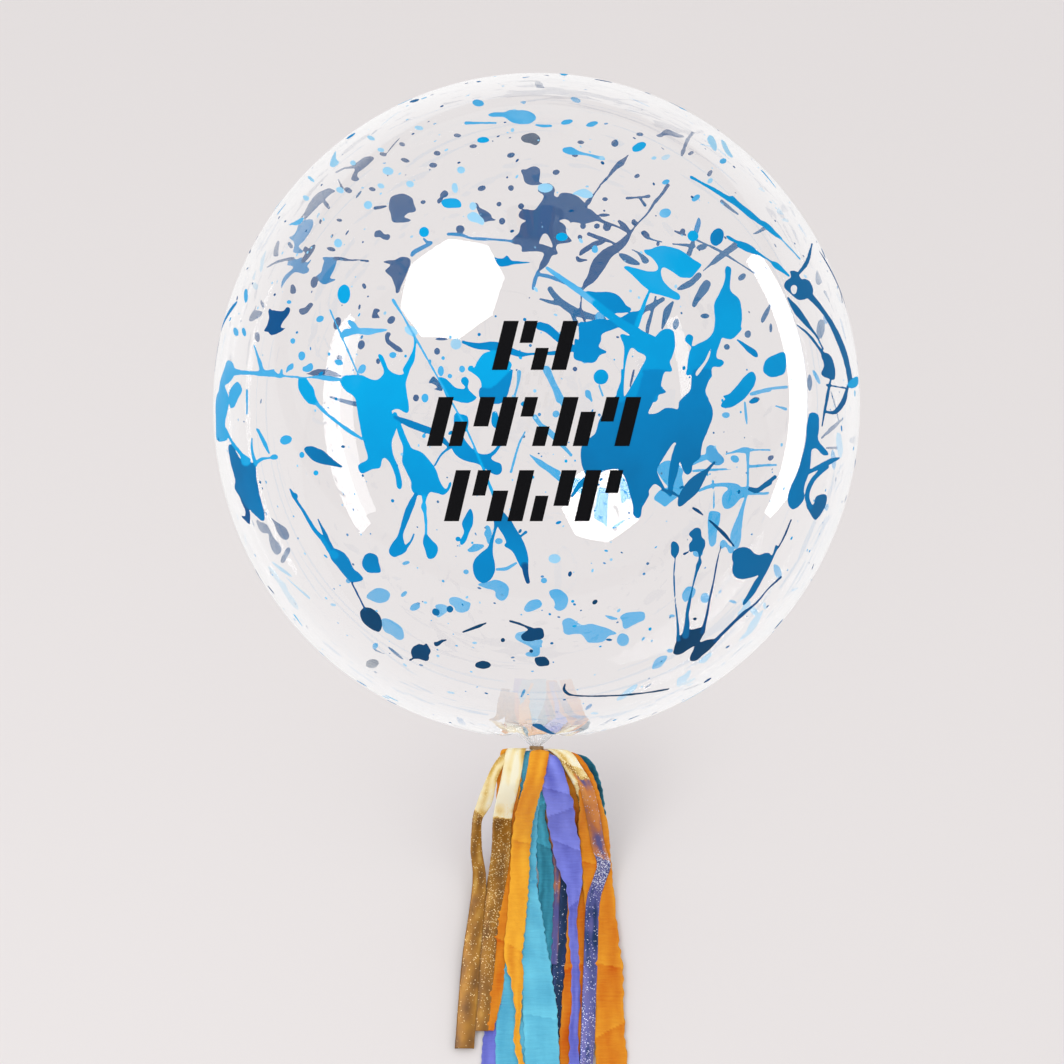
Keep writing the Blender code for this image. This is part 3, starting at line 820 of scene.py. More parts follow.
        689, 544, 692, 540, 692, 538), (732, 558, 733, 552, 738, 548, 744, 547, 750, 549, 754, 553, 759, 555,
        765, 553, 769, 553, 772, 555, 775, 547, 776, 545, 778, 547, 776, 552, 771, 563, 765, 575, 758, 588,
        751, 598, 744, 605, 743, 602, 748, 593, 754, 582, 759, 575, 753, 577, 744, 579, 737, 578, 733, 574,
        732, 568, 733, 563), (716, 462, 709, 471, 703, 483, 697, 493, 688, 501, 682, 506, 678, 506, 678, 499,
        682, 489, 690, 479, 698, 473, 706, 469, 713, 462), (806, 505, 813, 505, 816, 497, 823, 494, 827, 497,
        825, 507, 819, 517, 815, 520, 811, 515),
    ),
    "slate": (
        (268, 312, 269, 309, 270, 308, 272, 310, 283, 311, 286, 308, 288, 307, 290, 309, 289, 314, 283, 322,
        281, 326, 282, 328, 286, 328, 282, 331, 276, 334, 271, 335, 268, 332, 264, 331, 267, 325, 269, 317),
    ),
    "dusk": (
        (241, 516, 245, 516, 245, 509, 238, 493, 245, 505, 250, 512, 250, 522, 249, 524), (790, 271, 797, 272,
        801, 279, 806, 279, 811, 283, 813, 293, 808, 298, 799, 300, 790, 293, 784, 287, 786, 281, 791, 277),
        (822, 354, 829, 354, 834, 364, 835, 379, 827, 378, 821, 374, 824, 366),
    ),
}
BACK_BLOTS = {
    "slate": (
        (372, 315, 374, 309, 378, 309, 380, 311, 377, 313, 380, 318, 377, 318, 372, 318), (385, 335, 388, 332,
        391, 334, 389, 339, 395, 344, 400, 347, 403, 352, 396, 351, 390, 346, 386, 343), (524, 209, 534, 210,
        538, 206, 544, 196, 538, 191, 540, 187, 547, 183, 552, 185, 555, 190, 554, 195, 558, 197, 561, 193,
        570, 193, 579, 197, 585, 203, 588, 204, 588, 209, 593, 215, 600, 220, 595, 221, 588, 223, 579, 223,
        572, 222, 570, 224, 566, 228, 567, 234, 572, 241, 566, 243, 558, 244, 556, 248, 558, 253, 556, 255,
        552, 256, 547, 265, 540, 271, 538, 271, 540, 264, 544, 255, 542, 252, 534, 251, 522, 252, 522, 248,
        520, 245, 514, 244, 511, 241, 515, 236, 519, 232, 521, 224, 526, 221, 524, 220, 519, 217, 519, 213),
        (521, 171, 522, 169, 526, 169, 530, 167, 535, 166, 540, 169, 540, 176, 539, 182, 542, 183, 538, 185,
        530, 185, 524, 181, 523, 175), (475, 203, 478, 204, 480, 208, 487, 211, 491, 215, 492, 218, 496, 220,
        489, 221, 484, 222, 480, 216, 477, 209), (440, 194, 444, 190, 448, 192, 447, 196, 443, 198, 442, 201,
        438, 204, 437, 200, 440, 197), (389, 203, 391, 197, 397, 194, 405, 194, 412, 198, 414, 204, 416, 210,
        413, 212, 408, 213, 404, 217, 411, 220, 406, 222, 393, 222, 391, 215, 389, 209), (383, 262, 389, 260,
        395, 260, 401, 257, 409, 258, 410, 265, 401, 286, 399, 292, 396, 293, 395, 287, 391, 277, 385, 271,
        389, 267, 390, 264), (579, 256, 580, 251, 586, 246, 595, 241, 603, 240, 604, 243, 593, 248, 585, 253,
        580, 256), (641, 232, 645, 230, 649, 234, 649, 238, 647, 239, 643, 236), (351, 166, 357, 162, 364,
        157, 371, 156, 374, 158, 371, 162, 364, 168, 358, 172, 357, 176, 359, 179, 355, 181, 351, 179, 352,
        175, 355, 169), (304, 214, 306, 208, 312, 198, 320, 191, 329, 188, 332, 189, 335, 191, 329, 195, 322,
        202, 315, 209, 307, 217, 304, 219), (277, 241, 279, 242, 278, 250, 278, 256, 274, 256, 273, 254, 274,
        248), (374, 235, 375, 231, 380, 230, 384, 234, 389, 234, 390, 237, 388, 240, 383, 239, 380, 237, 375,
        237), (249, 321, 249, 318, 252, 312, 254, 310, 260, 311, 262, 312, 261, 315, 257, 318, 252, 321),
        (299, 312, 299, 309, 302, 308, 305, 307, 309, 303, 312, 303, 313, 305, 310, 309, 307, 313, 302, 315),
        (302, 373, 308, 373, 314, 370, 322, 369, 332, 371, 339, 374, 342, 377, 334, 377, 325, 376, 318, 377,
        310, 375), (656, 135, 661, 133, 664, 130, 669, 129, 675, 132, 683, 135, 684, 137, 677, 137, 670, 135,
        665, 135, 660, 137),
    ),
    "dusk": (
        (428, 384, 433, 376, 439, 382, 443, 391, 434, 389, 438, 387, 431, 383), (619, 256, 621, 253, 630, 256,
        640, 263, 637, 265, 627, 263), (630, 249, 635, 250, 644, 255, 649, 260, 647, 263, 643, 263, 641, 259,
        637, 253), (692, 305, 694, 299, 699, 288, 704, 281, 708, 280, 711, 284, 708, 291, 701, 299, 695, 307),
        (256, 520, 260, 522, 266, 524, 269, 529, 273, 537, 281, 547, 280, 553, 276, 555, 272, 551, 269, 542,
        268, 534, 262, 533, 258, 528), (270, 517, 276, 522, 283, 526, 287, 530, 289, 537, 286, 540, 281, 538,
        277, 532, 274, 524), (770, 304, 771, 306, 768, 315, 763, 323, 761, 319, 765, 311),
    ),
    "sky": (
        (478, 584, 487, 582, 494, 580, 502, 582, 508, 587, 509, 592, 507, 598, 502, 601, 497, 599, 495, 595,
        495, 591, 488, 589, 480, 586), (485, 526, 489, 526, 491, 531, 492, 533, 491, 542, 488, 544, 486, 538,
        484, 534, 486, 529), (467, 550, 471, 547, 473, 544, 479, 544, 484, 545, 483, 548, 477, 551, 470, 552),
        (449, 601, 450, 598, 455, 597, 460, 598, 465, 601, 470, 603, 470, 606, 468, 611, 462, 613, 456, 611,
        454, 607, 450, 604), (435, 606, 440, 604, 445, 605, 448, 608, 447, 612, 443, 615, 438, 618, 436, 615,
        437, 610), (549, 594, 551, 591, 558, 590, 564, 593, 568, 598, 567, 606, 563, 610, 558, 611, 554, 608,
        555, 605, 554, 601, 551, 598), (524, 610, 526, 605, 531, 601, 538, 600, 542, 603, 541, 607, 535, 610,
        528, 612), (562, 622, 565, 619, 570, 618, 576, 621, 582, 625, 591, 624, 600, 626, 609, 629, 617, 634,
        609, 636, 603, 642, 590, 643, 586, 640, 582, 635, 576, 634, 568, 635, 564, 633, 563, 628), (515, 637,
        517, 633, 522, 632, 529, 632, 542, 640, 542, 643, 540, 648, 540, 653, 538, 656, 533, 657, 526, 656,
        526, 653, 533, 651, 530, 647, 522, 643, 517, 640), (720, 544, 722, 540, 726, 541, 729, 545, 734, 549,
        733, 553, 729, 553, 726, 547, 721, 549), (682, 597, 684, 591, 688, 587, 693, 587, 696, 591, 693, 598,
        689, 600, 685, 602), (620, 617, 626, 613, 634, 612, 643, 612, 645, 615, 644, 620, 638, 623, 632, 626,
        626, 629, 623, 627, 622, 621), (652, 669, 654, 662, 660, 657, 667, 656, 666, 661, 661, 667, 655, 669),
        (657, 471, 659, 465, 665, 461, 672, 461, 679, 464, 683, 471, 682, 477, 684, 486, 682, 492, 675, 499,
        669, 504, 665, 507, 659, 503, 654, 499, 657, 493, 662, 489, 668, 487, 663, 481), (698, 490, 709, 485,
        719, 483, 731, 483, 738, 484, 742, 487, 750, 487, 760, 492, 769, 492, 766, 495, 748, 495, 745, 497,
        740, 499, 734, 506, 727, 509, 723, 506, 722, 499, 724, 493, 728, 490, 726, 487, 716, 487, 704, 490,
        699, 492), (745, 497, 747, 498, 744, 511, 742, 528, 741, 539, 738, 548, 734, 548, 730, 540, 732, 530,
        738, 515), (709, 513, 714, 511, 720, 513, 720, 520, 717, 533, 716, 543, 712, 547, 709, 543, 708, 528),
        (585, 391, 588, 390, 591, 395, 593, 403, 589, 399, 586, 394), (559, 477, 570, 478, 581, 479, 584, 487,
        585, 495, 574, 490, 566, 484), (599, 487, 606, 489, 608, 492, 607, 528, 605, 525, 599, 521, 594, 517,
        596, 502), (621, 476, 627, 483, 631, 499, 627, 499, 622, 504, 620, 487), (366, 597, 371, 591, 379,
        588, 388, 591, 390, 596, 386, 602, 378, 603, 370, 600), (381, 620, 388, 619, 396, 623, 402, 629, 404,
        638, 398, 640, 391, 635, 384, 631),
    ),
    "pale": (
        (677, 685, 678, 679, 683, 676, 689, 671, 691, 672, 689, 678, 684, 683, 679, 686), (699, 663, 703, 658,
        710, 653, 712, 654, 710, 658, 705, 663), (742, 600, 747, 599, 751, 603, 747, 609, 739, 616, 738, 613,
        743, 607), (762, 611, 763, 613, 757, 626, 749, 635, 740, 641, 742, 637, 747, 631, 751, 622),
    ),
    "cyan": (
        (706, 452, 707, 447, 711, 445, 715, 447, 718, 452, 723, 457, 724, 462, 720, 465, 715, 465, 709, 461,
        706, 457),
    ),
    "navy": (
        (521, 138, 523, 135, 529, 133, 535, 133, 540, 137, 540, 141, 538, 144, 535, 145, 530, 143, 524, 142),
    ),
    "blue": (
        (699, 217, 701, 222, 699, 231, 697, 235, 694, 231, 696, 223), (299, 223, 304, 220, 311, 219, 313, 222,
        312, 227, 309, 233, 304, 240, 299, 245, 299, 248, 302, 250, 301, 253, 293, 252, 294, 246, 293, 241,
        288, 237, 294, 234), (287, 264, 289, 260, 297, 259, 302, 257, 302, 260, 307, 262, 311, 259, 309, 263,
        307, 266, 309, 269, 308, 272, 303, 274, 298, 272, 293, 273, 287, 279, 283, 285, 281, 289, 281, 283,
        284, 276, 292, 269, 292, 266, 287, 265), (322, 258, 324, 257, 330, 257, 336, 258, 336, 263, 333, 271,
        330, 278, 336, 279, 329, 283, 322, 284, 317, 278, 317, 275, 321, 272, 322, 267, 324, 261),
    ),
    "mist": (
        (266, 239, 267, 242, 264, 260, 261, 272, 259, 269, 260, 263, 258, 258, 255, 273, 254, 280, 251, 277,
        251, 271, 254, 258, 257, 245, 260, 240), (244, 290, 242, 299, 239, 308, 240, 314, 234, 314, 233, 309,
        236, 299, 241, 292), (267, 566, 274, 571, 280, 580, 285, 584, 289, 593, 296, 603, 298, 609, 297, 610,
        290, 604, 285, 596, 278, 584, 273, 577), (746, 167, 751, 170, 758, 178, 763, 184, 766, 191, 763, 191,
        758, 188, 761, 187, 757, 182, 751, 174), (771, 193, 776, 197, 781, 204, 785, 214, 779, 213, 777, 210,
        779, 207, 773, 201),
    ),
}
FRONT_RUNS = {
    "cyan": (
        (395, 414, 3.8, 399, 426, 5, 403, 438, 6.5, 408, 448, 5.9), (406, 370, 6.5, 410, 363, 6.5, 412, 358,
        5.6, 414, 351, 3.2, 415, 344, 1.8, 414, 335, 1.5), (649, 292, 2.8, 645, 302, 3.6, 641, 313, 4.2, 637,
        325, 4.8),
    ),
    "sky": (
        (393, 300, 2.9, 403, 316, 1.8, 415, 337, 2.1, 433, 369, 1.6, 447, 394, 1.8, 465, 426, 2.1, 481, 463,
        2.1, 493, 494, 3.2, 499, 508, 4.4), (330, 310, 1.5, 345, 344, 1.8, 358, 374, 1.8), (424, 497, 4, 424,
        502, 3, 424, 507, 6, 425, 513, 3, 426, 522, 3, 426, 533, 2.5), (330, 416, 2.1, 345, 428, 3.8, 362,
        439, 2.6), (466, 123, 3.1, 477, 123, 2.3, 496, 123, 1.8), (536, 125, 1.8, 543, 126, 2.8, 551, 126,
        2.3), (565, 150, 5.1, 571, 151, 7.7, 579, 153, 3.8, 589, 155, 2.3, 600, 158, 3.3, 604, 159, 2.6),
        (780, 238, 1.3, 789, 247, 1.3, 800, 259, 1.3), (547, 268, 3.4, 561, 278, 5.1, 579, 291, 6.2, 596, 304,
        5.6), (247, 390, 1.9, 247, 400, 2.3, 247, 414, 1.2), (317, 404, 3.8, 324, 411, 3.8, 328, 415, 2.9,
        336, 422, 1.2, 346, 429, 2.5, 355, 435, 2.9), (257, 429, 1.2, 260, 434, 1.9, 263, 440, 2.5), (226,
        430, 2.1, 232, 442, 2.7, 241, 454, 4, 246, 461, 9.4), (252, 438, 1.2, 252, 450, 2.7, 255, 462, 3.2,
        256, 465, 2.1), (256, 463, 2.7, 262, 459, 3.5, 269, 458, 1.3, 274, 457, 5.1, 276, 457, 4), (258, 430,
        2.7, 264, 442, 3.7, 269, 453, 1.9),
    ),
    "azure": (
        (416, 494, 3, 412, 503, 6, 407, 515, 7, 402, 530, 4.5, 400, 538, 7, 398, 547, 14, 395, 551, 12), (435,
        465, 1.8, 441, 455, 2.1, 450, 447, 3.2), (495, 414, 5.9, 496, 423, 8.8, 499, 425, 5.9), (414, 534,
        1.3, 411, 541, 1.8, 406, 547, 3.8, 403, 550, 6.4, 397, 551, 8.9), (622, 370, 2.1, 622, 382, 2.6, 621,
        391, 5, 621, 398, 8.8), (640, 374, 5.9, 634, 386, 4.4, 628, 396, 4.4), (585, 479, 4.4, 578, 487, 4.4,
        572, 496, 2.6), (596, 304, 7, 607, 313, 7.9, 619, 322, 8.4, 630, 329, 9.8, 641, 336, 11.2, 652, 343,
        14), (290, 489, 1.2, 293, 494, 3.5, 295, 496, 5.4, 296, 500, 2.7, 304, 512, 2.9, 314, 529, 3.7, 322,
        538, 4.6, 329, 549, 5.4, 335, 555, 8), (740, 245, 5.9, 750, 249, 7.1, 759, 254, 2.8, 770, 261, 1.6,
        777, 266, 5.9, 789, 276, 1.6),
    ),
    "blue": (
        (395, 417, 2.9, 406, 422, 6.5, 421, 428, 7.3, 433, 432, 6.7, 441, 438, 5.9, 450, 447, 2.9), (463, 342,
        2.9, 477, 346, 5.9, 494, 346, 8.8, 503, 348, 7.3, 519, 354, 5.9, 532, 354, 2.3, 559, 353, 4.4), (521,
        536, 1.8, 526, 532, 3.1), (676, 446, 2.9, 675, 461, 8.8, 673, 473, 8.2, 671, 484, 5.9, 670, 495, 2.9),
        (540, 326, 8.4, 548, 329, 8.4, 560, 339, 8.4, 571, 348, 8.4), (318, 519, 1.3, 324, 532, 3.7, 329, 542,
        3.2, 332, 548, 3.2), (809, 472, 4, 819, 467, 4.7, 831, 461, 5.1, 839, 458, 1.6), (827, 467, 4, 817,
        475, 4.7, 810, 485, 4.7, 807, 497, 4.3, 810, 507, 5.9),
    ),
    "slate": (
        (525, 566, 7.1, 526, 574, 5.6, 528, 582, 3.8), (684, 554, 2.6, 688, 552, 1.2), (721, 546, 1.2, 717,
        562, 1.5, 713, 584, 1.8, 709, 602, 2, 707, 614, 2.6, 704, 626, 3.3, 702, 632, 3.8), (715, 641, 3.8,
        725, 631, 2.8, 735, 621, 3.1, 745, 612, 3.3, 757, 602, 1.5, 768, 589, 1.3, 781, 577, 1.8), (778, 548,
        1.5, 784, 537, 1.2, 791, 520, 1.2), (709, 520, 1.5, 723, 533, 3.8, 734, 546, 1.2), (693, 508, 2.1,
        698, 511, 2.9, 703, 515, 1.2), (352, 583, 1.2, 359, 597, 1.3, 365, 609, 1.3),
    ),
    "navy": (
        (510, 621, 2, 517, 623, 2.6, 525, 626, 1.8, 531, 629, 3.8), (410, 660, 2, 414, 658, 1.8), (435, 643,
        2.3, 437, 644, 4.6, 442, 641, 2.6, 446, 640, 1.2), (463, 632, 1.5, 471, 629, 2.8, 479, 626, 3.1, 486,
        623, 1.5), (565, 684, 1.5, 564, 689, 2.8, 567, 693, 3, 572, 695, 1.8, 584, 696, 1.2, 600, 696, 1.2,
        625, 695, 1.8, 651, 692, 1.2, 669, 689, 1.2),
    ),
    "deep": (
        (675, 558, 1.3, 674, 576, 1.3, 675, 599, 1.5, 677, 617, 2, 678, 630, 2.8, 678, 639, 4.3), (697, 570,
        2.3, 694, 581, 1.8, 691, 594, 2, 689, 604, 3.1, 687, 614, 3.8, 687, 625, 5.1, 685, 635, 6.4), (662,
        490, 2.1, 671, 492, 2.9, 678, 496, 1.8), (751, 489, 3.2, 756, 491, 4.4, 763, 487, 3.8, 770, 483, 4.4),
        (750, 489, 4, 758, 490, 4.7, 766, 484, 4, 775, 477, 3.6),
    ),
    "dusk": (
        (799, 273, 2.8, 807, 262, 4, 812, 244, 1.2), (811, 297, 6.7, 823, 311, 4.3, 833, 327, 5.1, 841, 345,
        5.9, 847, 364, 5.5, 851, 386, 4.3), (788, 298, 2, 797, 311, 7.1, 807, 324, 4.7, 817, 337, 1.6, 823,
        349, 1.6), (797, 325, 1.2, 809, 335, 2.4, 821, 351, 2.8, 825, 357, 7.1), (831, 378, 1.6, 827, 398,
        3.2, 822, 426, 1.2), (826, 412, 2.4, 835, 412, 4.3, 843, 402, 5.1, 848, 386, 2.4), (827, 385, 2, 845,
        388, 1.6),
    ),
}
BACK_RUNS = {
    "dusk": (
        (330, 397, 2.1, 343, 401, 3.8, 356, 404, 5.3), (648, 238, 2.2, 654, 240, 1.4, 662, 242, 1.2), (673,
        244, 1.2, 686, 245, 2.8, 694, 246, 3.4), (689, 254, 5.1, 692, 246, 4.8, 693, 242, 4.2), (697, 240, 2,
        708, 245, 2, 722, 252, 2.8, 736, 261, 1.7, 755, 273, 1.4), (736, 245, 7, 725, 253, 6.2, 715, 261, 5.1,
        710, 265, 2, 703, 271, 1.2), (699, 275, 5.6, 692, 282, 6.2, 683, 287, 5.6, 678, 289, 2), (722, 201,
        3.6, 729, 207, 3.1, 738, 214, 1.4), (765, 228, 3.8, 758, 232, 2.6, 753, 234, 1.2), (663, 299, 4.2,
        652, 306, 6.5, 644, 310, 5.1, 638, 318, 4.2), (656, 296, 2, 652, 312, 2.8, 648, 326, 4.2, 647, 336,
        2), (673, 302, 2.2, 668, 310, 7, 665, 319, 5.6, 662, 329, 1.7), (550, 289, 5.6, 555, 296, 5.6, 562,
        303, 7, 572, 310, 8.4, 585, 315, 7, 596, 318, 5.6, 603, 320, 7), (540, 299, 2, 551, 302, 3.6, 562,
        304, 4.2), (571, 312, 2.8, 576, 322, 3.6, 581, 327, 2), (825, 291, 2, 835, 309, 2.8, 843, 333, 2.8,
        848, 355, 1.6), (822, 438, 1.2, 833, 428, 4, 844, 418, 1.2), (827, 448, 2, 839, 448, 2.8),
    ),
    "sky": (
        (519, 372, 4.4, 518, 384, 2.6, 513, 401, 2.9, 509, 417, 3.8, 505, 432, 4.4, 501, 444, 5), (547, 370,
        7.3, 553, 384, 5.3, 559, 395, 3.8, 565, 406, 7.3), (535, 417, 5.3, 543, 428, 3.5, 559, 442, 4.4, 571,
        455, 3.2), (525, 432, 1.8, 519, 444, 2.1, 511, 472, 2.9), (530, 455, 1.2, 540, 463, 5.3, 550, 471,
        4.4, 560, 480, 3.5), (497, 570, 2.6, 506, 570, 3.6, 512, 567, 3.3, 517, 564, 2), (606, 616, 1.3, 611,
        618, 3.3, 617, 619, 1.5), (693, 464, 2.9, 700, 459, 5.9, 706, 457, 5.9), (726, 454, 1.2, 738, 451,
        3.2, 745, 450, 5.9, 753, 450, 2.3, 770, 450, 1.8), (748, 452, 3.8, 748, 467, 2.1, 748, 484, 2.1, 746,
        496, 3.5), (750, 467, 1.5, 760, 466, 2.1, 770, 465, 2.1), (693, 471, 2.1, 709, 470, 2.6, 731, 469,
        1.2), (713, 481, 2.6, 714, 495, 1.2, 714, 509, 1.5), (751, 394, 2.9, 760, 392, 3.5, 770, 390, 3.5),
        (745, 402, 1.5, 746, 414, 2.9, 747, 424, 1.2), (599, 385, 1.8, 603, 396, 2.1), (540, 424, 2.9, 549,
        430, 3.8, 561, 442, 3.2), (540, 462, 4.4, 549, 468, 5.3, 558, 473, 5.9), (613, 528, 2.3, 619, 524,
        2.9, 625, 520, 1.2), (546, 369, 7, 553, 383, 6.2, 560, 399, 8.4), (752, 394, 2.4, 768, 389, 2.8, 787,
        387, 2.8), (776, 406, 2, 786, 409, 2.8), (750, 466, 1.6, 776, 465, 2.4),
    ),
    "mist": (
        (678, 686, 1.5, 687, 683, 3.3, 695, 679, 1.5), (688, 686, 1.2, 697, 683, 1.8, 707, 678, 2), (271, 226,
        1.8, 278, 223, 2.8, 284, 220, 1.8), (717, 145, 2.6, 721, 150, 3.3, 726, 155, 1.8),
    ),
    "slate": (
        (634, 370, 1.8, 632, 379, 2.3, 630, 387, 1.2), (577, 257, 2.6, 579, 260, 4.3, 587, 260, 2), (589, 233,
        2.3, 595, 236, 2.8, 607, 240, 2.6, 614, 243, 1.2), (588, 202, 5.1, 594, 194, 1.8, 600, 186, 1.3),
        (589, 212, 7, 602, 221, 3.1, 616, 226, 2.2, 628, 232, 2), (627, 198, 2.5, 641, 197, 2.2, 649, 196,
        3.6), (640, 198, 2.2, 645, 205, 3.1), (619, 221, 2.8, 624, 226, 5.3, 629, 230, 2), (668, 185, 3.6,
        662, 194, 3.1, 655, 202, 3.1, 647, 214, 1.4, 638, 223, 1.2, 631, 232, 2.2, 626, 239, 6.2, 619, 246,
        8.4, 607, 254, 11.2, 599, 264, 14, 592, 277, 9.8, 586, 284, 5.6, 583, 289, 2.2), (582, 289, 1.7, 581,
        301, 2, 581, 310, 1.7, 585, 322, 2.2), (675, 231, 1.2, 680, 233, 2.8, 686, 235, 2), (588, 234, 2.8,
        599, 238, 3.1, 610, 242, 1.7, 616, 244, 1.2), (336, 172, 1.2, 344, 168, 1.8, 352, 167, 2.8, 357, 166,
        6.4), (267, 267, 1.2, 276, 262, 2.3, 287, 259, 2.8, 293, 258, 2.6), (335, 258, 2.6, 343, 259, 3.1,
        349, 260, 1.3, 358, 260, 1.2, 368, 261, 2), (375, 208, 3.3, 381, 207, 3.1, 386, 206, 1.8), (600, 185,
        1.8, 608, 177, 2.8, 615, 168, 4.3, 621, 163, 6.4, 624, 160, 3.8, 628, 155, 1.3), (694, 131, 4.3, 691,
        135, 2.6, 688, 139, 3.8, 685, 146, 2.8, 683, 152, 4.3, 682, 155, 1.3),
    ),
    "blue": (
        (448, 234, 3.3, 455, 234, 3.8, 462, 235, 3.6, 471, 238, 2.3, 483, 239, 3.3, 489, 239, 2.3, 502, 240,
        2, 512, 241, 3.1), (424, 239, 2.3, 427, 242, 2.8, 431, 243, 3.3, 423, 247, 3.8, 414, 252, 4.6, 412,
        255, 3.8), (539, 274, 2.3, 548, 276, 2.6, 557, 280, 2.3), (538, 271, 2.6, 535, 280, 3.8, 533, 289,
        2.6), (540, 275, 2.8, 554, 278, 3.6, 568, 284, 2.8, 582, 289, 2.2),
    ),
}
FRONT_DROPS = {
    "sky": (
        (339, 363, 7, 5, 0), (393, 355, 7, 6, 0), (362, 369, 7, 10, -25), (424, 436, 4, 4, 0), (443, 358, 4,
        4, 0), (441, 371, 6, 10, 0), (462, 369, 6, 7, 0), (450, 376, 5, 5, 0), (425, 398, 7, 9, 0), (478, 103,
        12, 7, -10), (567, 122, 12, 5, 10), (592, 124, 12, 5, 15), (595, 250, 6, 6, 0), (666, 182, 8, 5, 20),
        (665, 213, 12, 9, 15), (696, 198, 9, 5, 35), (595, 249, 6, 7, 0), (246, 296, 4, 14, 0), (320, 319, 8,
        6, 35), (236, 332, 5, 9, 15), (244, 332, 4, 9, 10), (293, 341, 5, 6, 0), (302, 356, 7, 9, 0), (339,
        362, 8, 5, -20), (329, 354, 3, 4, 0), (289, 302, 5, 4, 0), (286, 440, 12, 9, 20), (302, 455, 5, 6, 0),
        (316, 473, 5, 5, 0), (723, 161, 7, 5, 20),
    ),
    "azure": (
        (433, 438, 8, 9, 0), (525, 404, 9, 6, 0), (458, 539, 5, 5, 0), (601, 377, 15, 15, 0),
    ),
    "deep": (
        (436, 612, 8, 7, -30), (450, 609, 7, 7, 0),
    ),
    "navy": (
        (531, 651, 4, 4, 0), (483, 665, 16, 8, 0), (595, 602, 6, 4, 35), (503, 640, 4, 4, 0), (695, 619, 4, 3,
        0),
    ),
    "slate": (
        (570, 574, 4, 6, -15),
    ),
    "blue": (
        (754, 401, 10, 5, 15), (717, 237, 13, 18, -20),
    ),
    "pale": (
        (545, 188, 15, 9, 0), (455, 188, 6, 10, 10), (410, 184, 8, 6, -20), (419, 128, 8, 4, -10), (461, 170,
        8, 7, 0), (473, 206, 7, 8, 0), (338, 243, 8, 9, 15), (368, 205, 8, 8, -20), (340, 190, 8, 6, -25),
        (381, 186, 7, 5, -20), (388, 171, 11, 8, -15), (381, 150, 7, 4, -15), (371, 138, 8, 4, -25), (311,
        179, 8, 3, -40), (306, 198, 7, 5, -30), (353, 163, 6, 5, -25), (654, 158, 5, 3, 15), (602, 158, 5, 4,
        0), (710, 181, 4, 6, -50),
    ),
    "cyan": (
        (562, 237, 12, 8, 0), (424, 232, 10, 10, 0), (483, 140, 12, 6, 0), (693, 236, 11, 11, 0), (344, 294,
        13, 19, 0), (639, 147, 15, 8, 25),
    ),
}
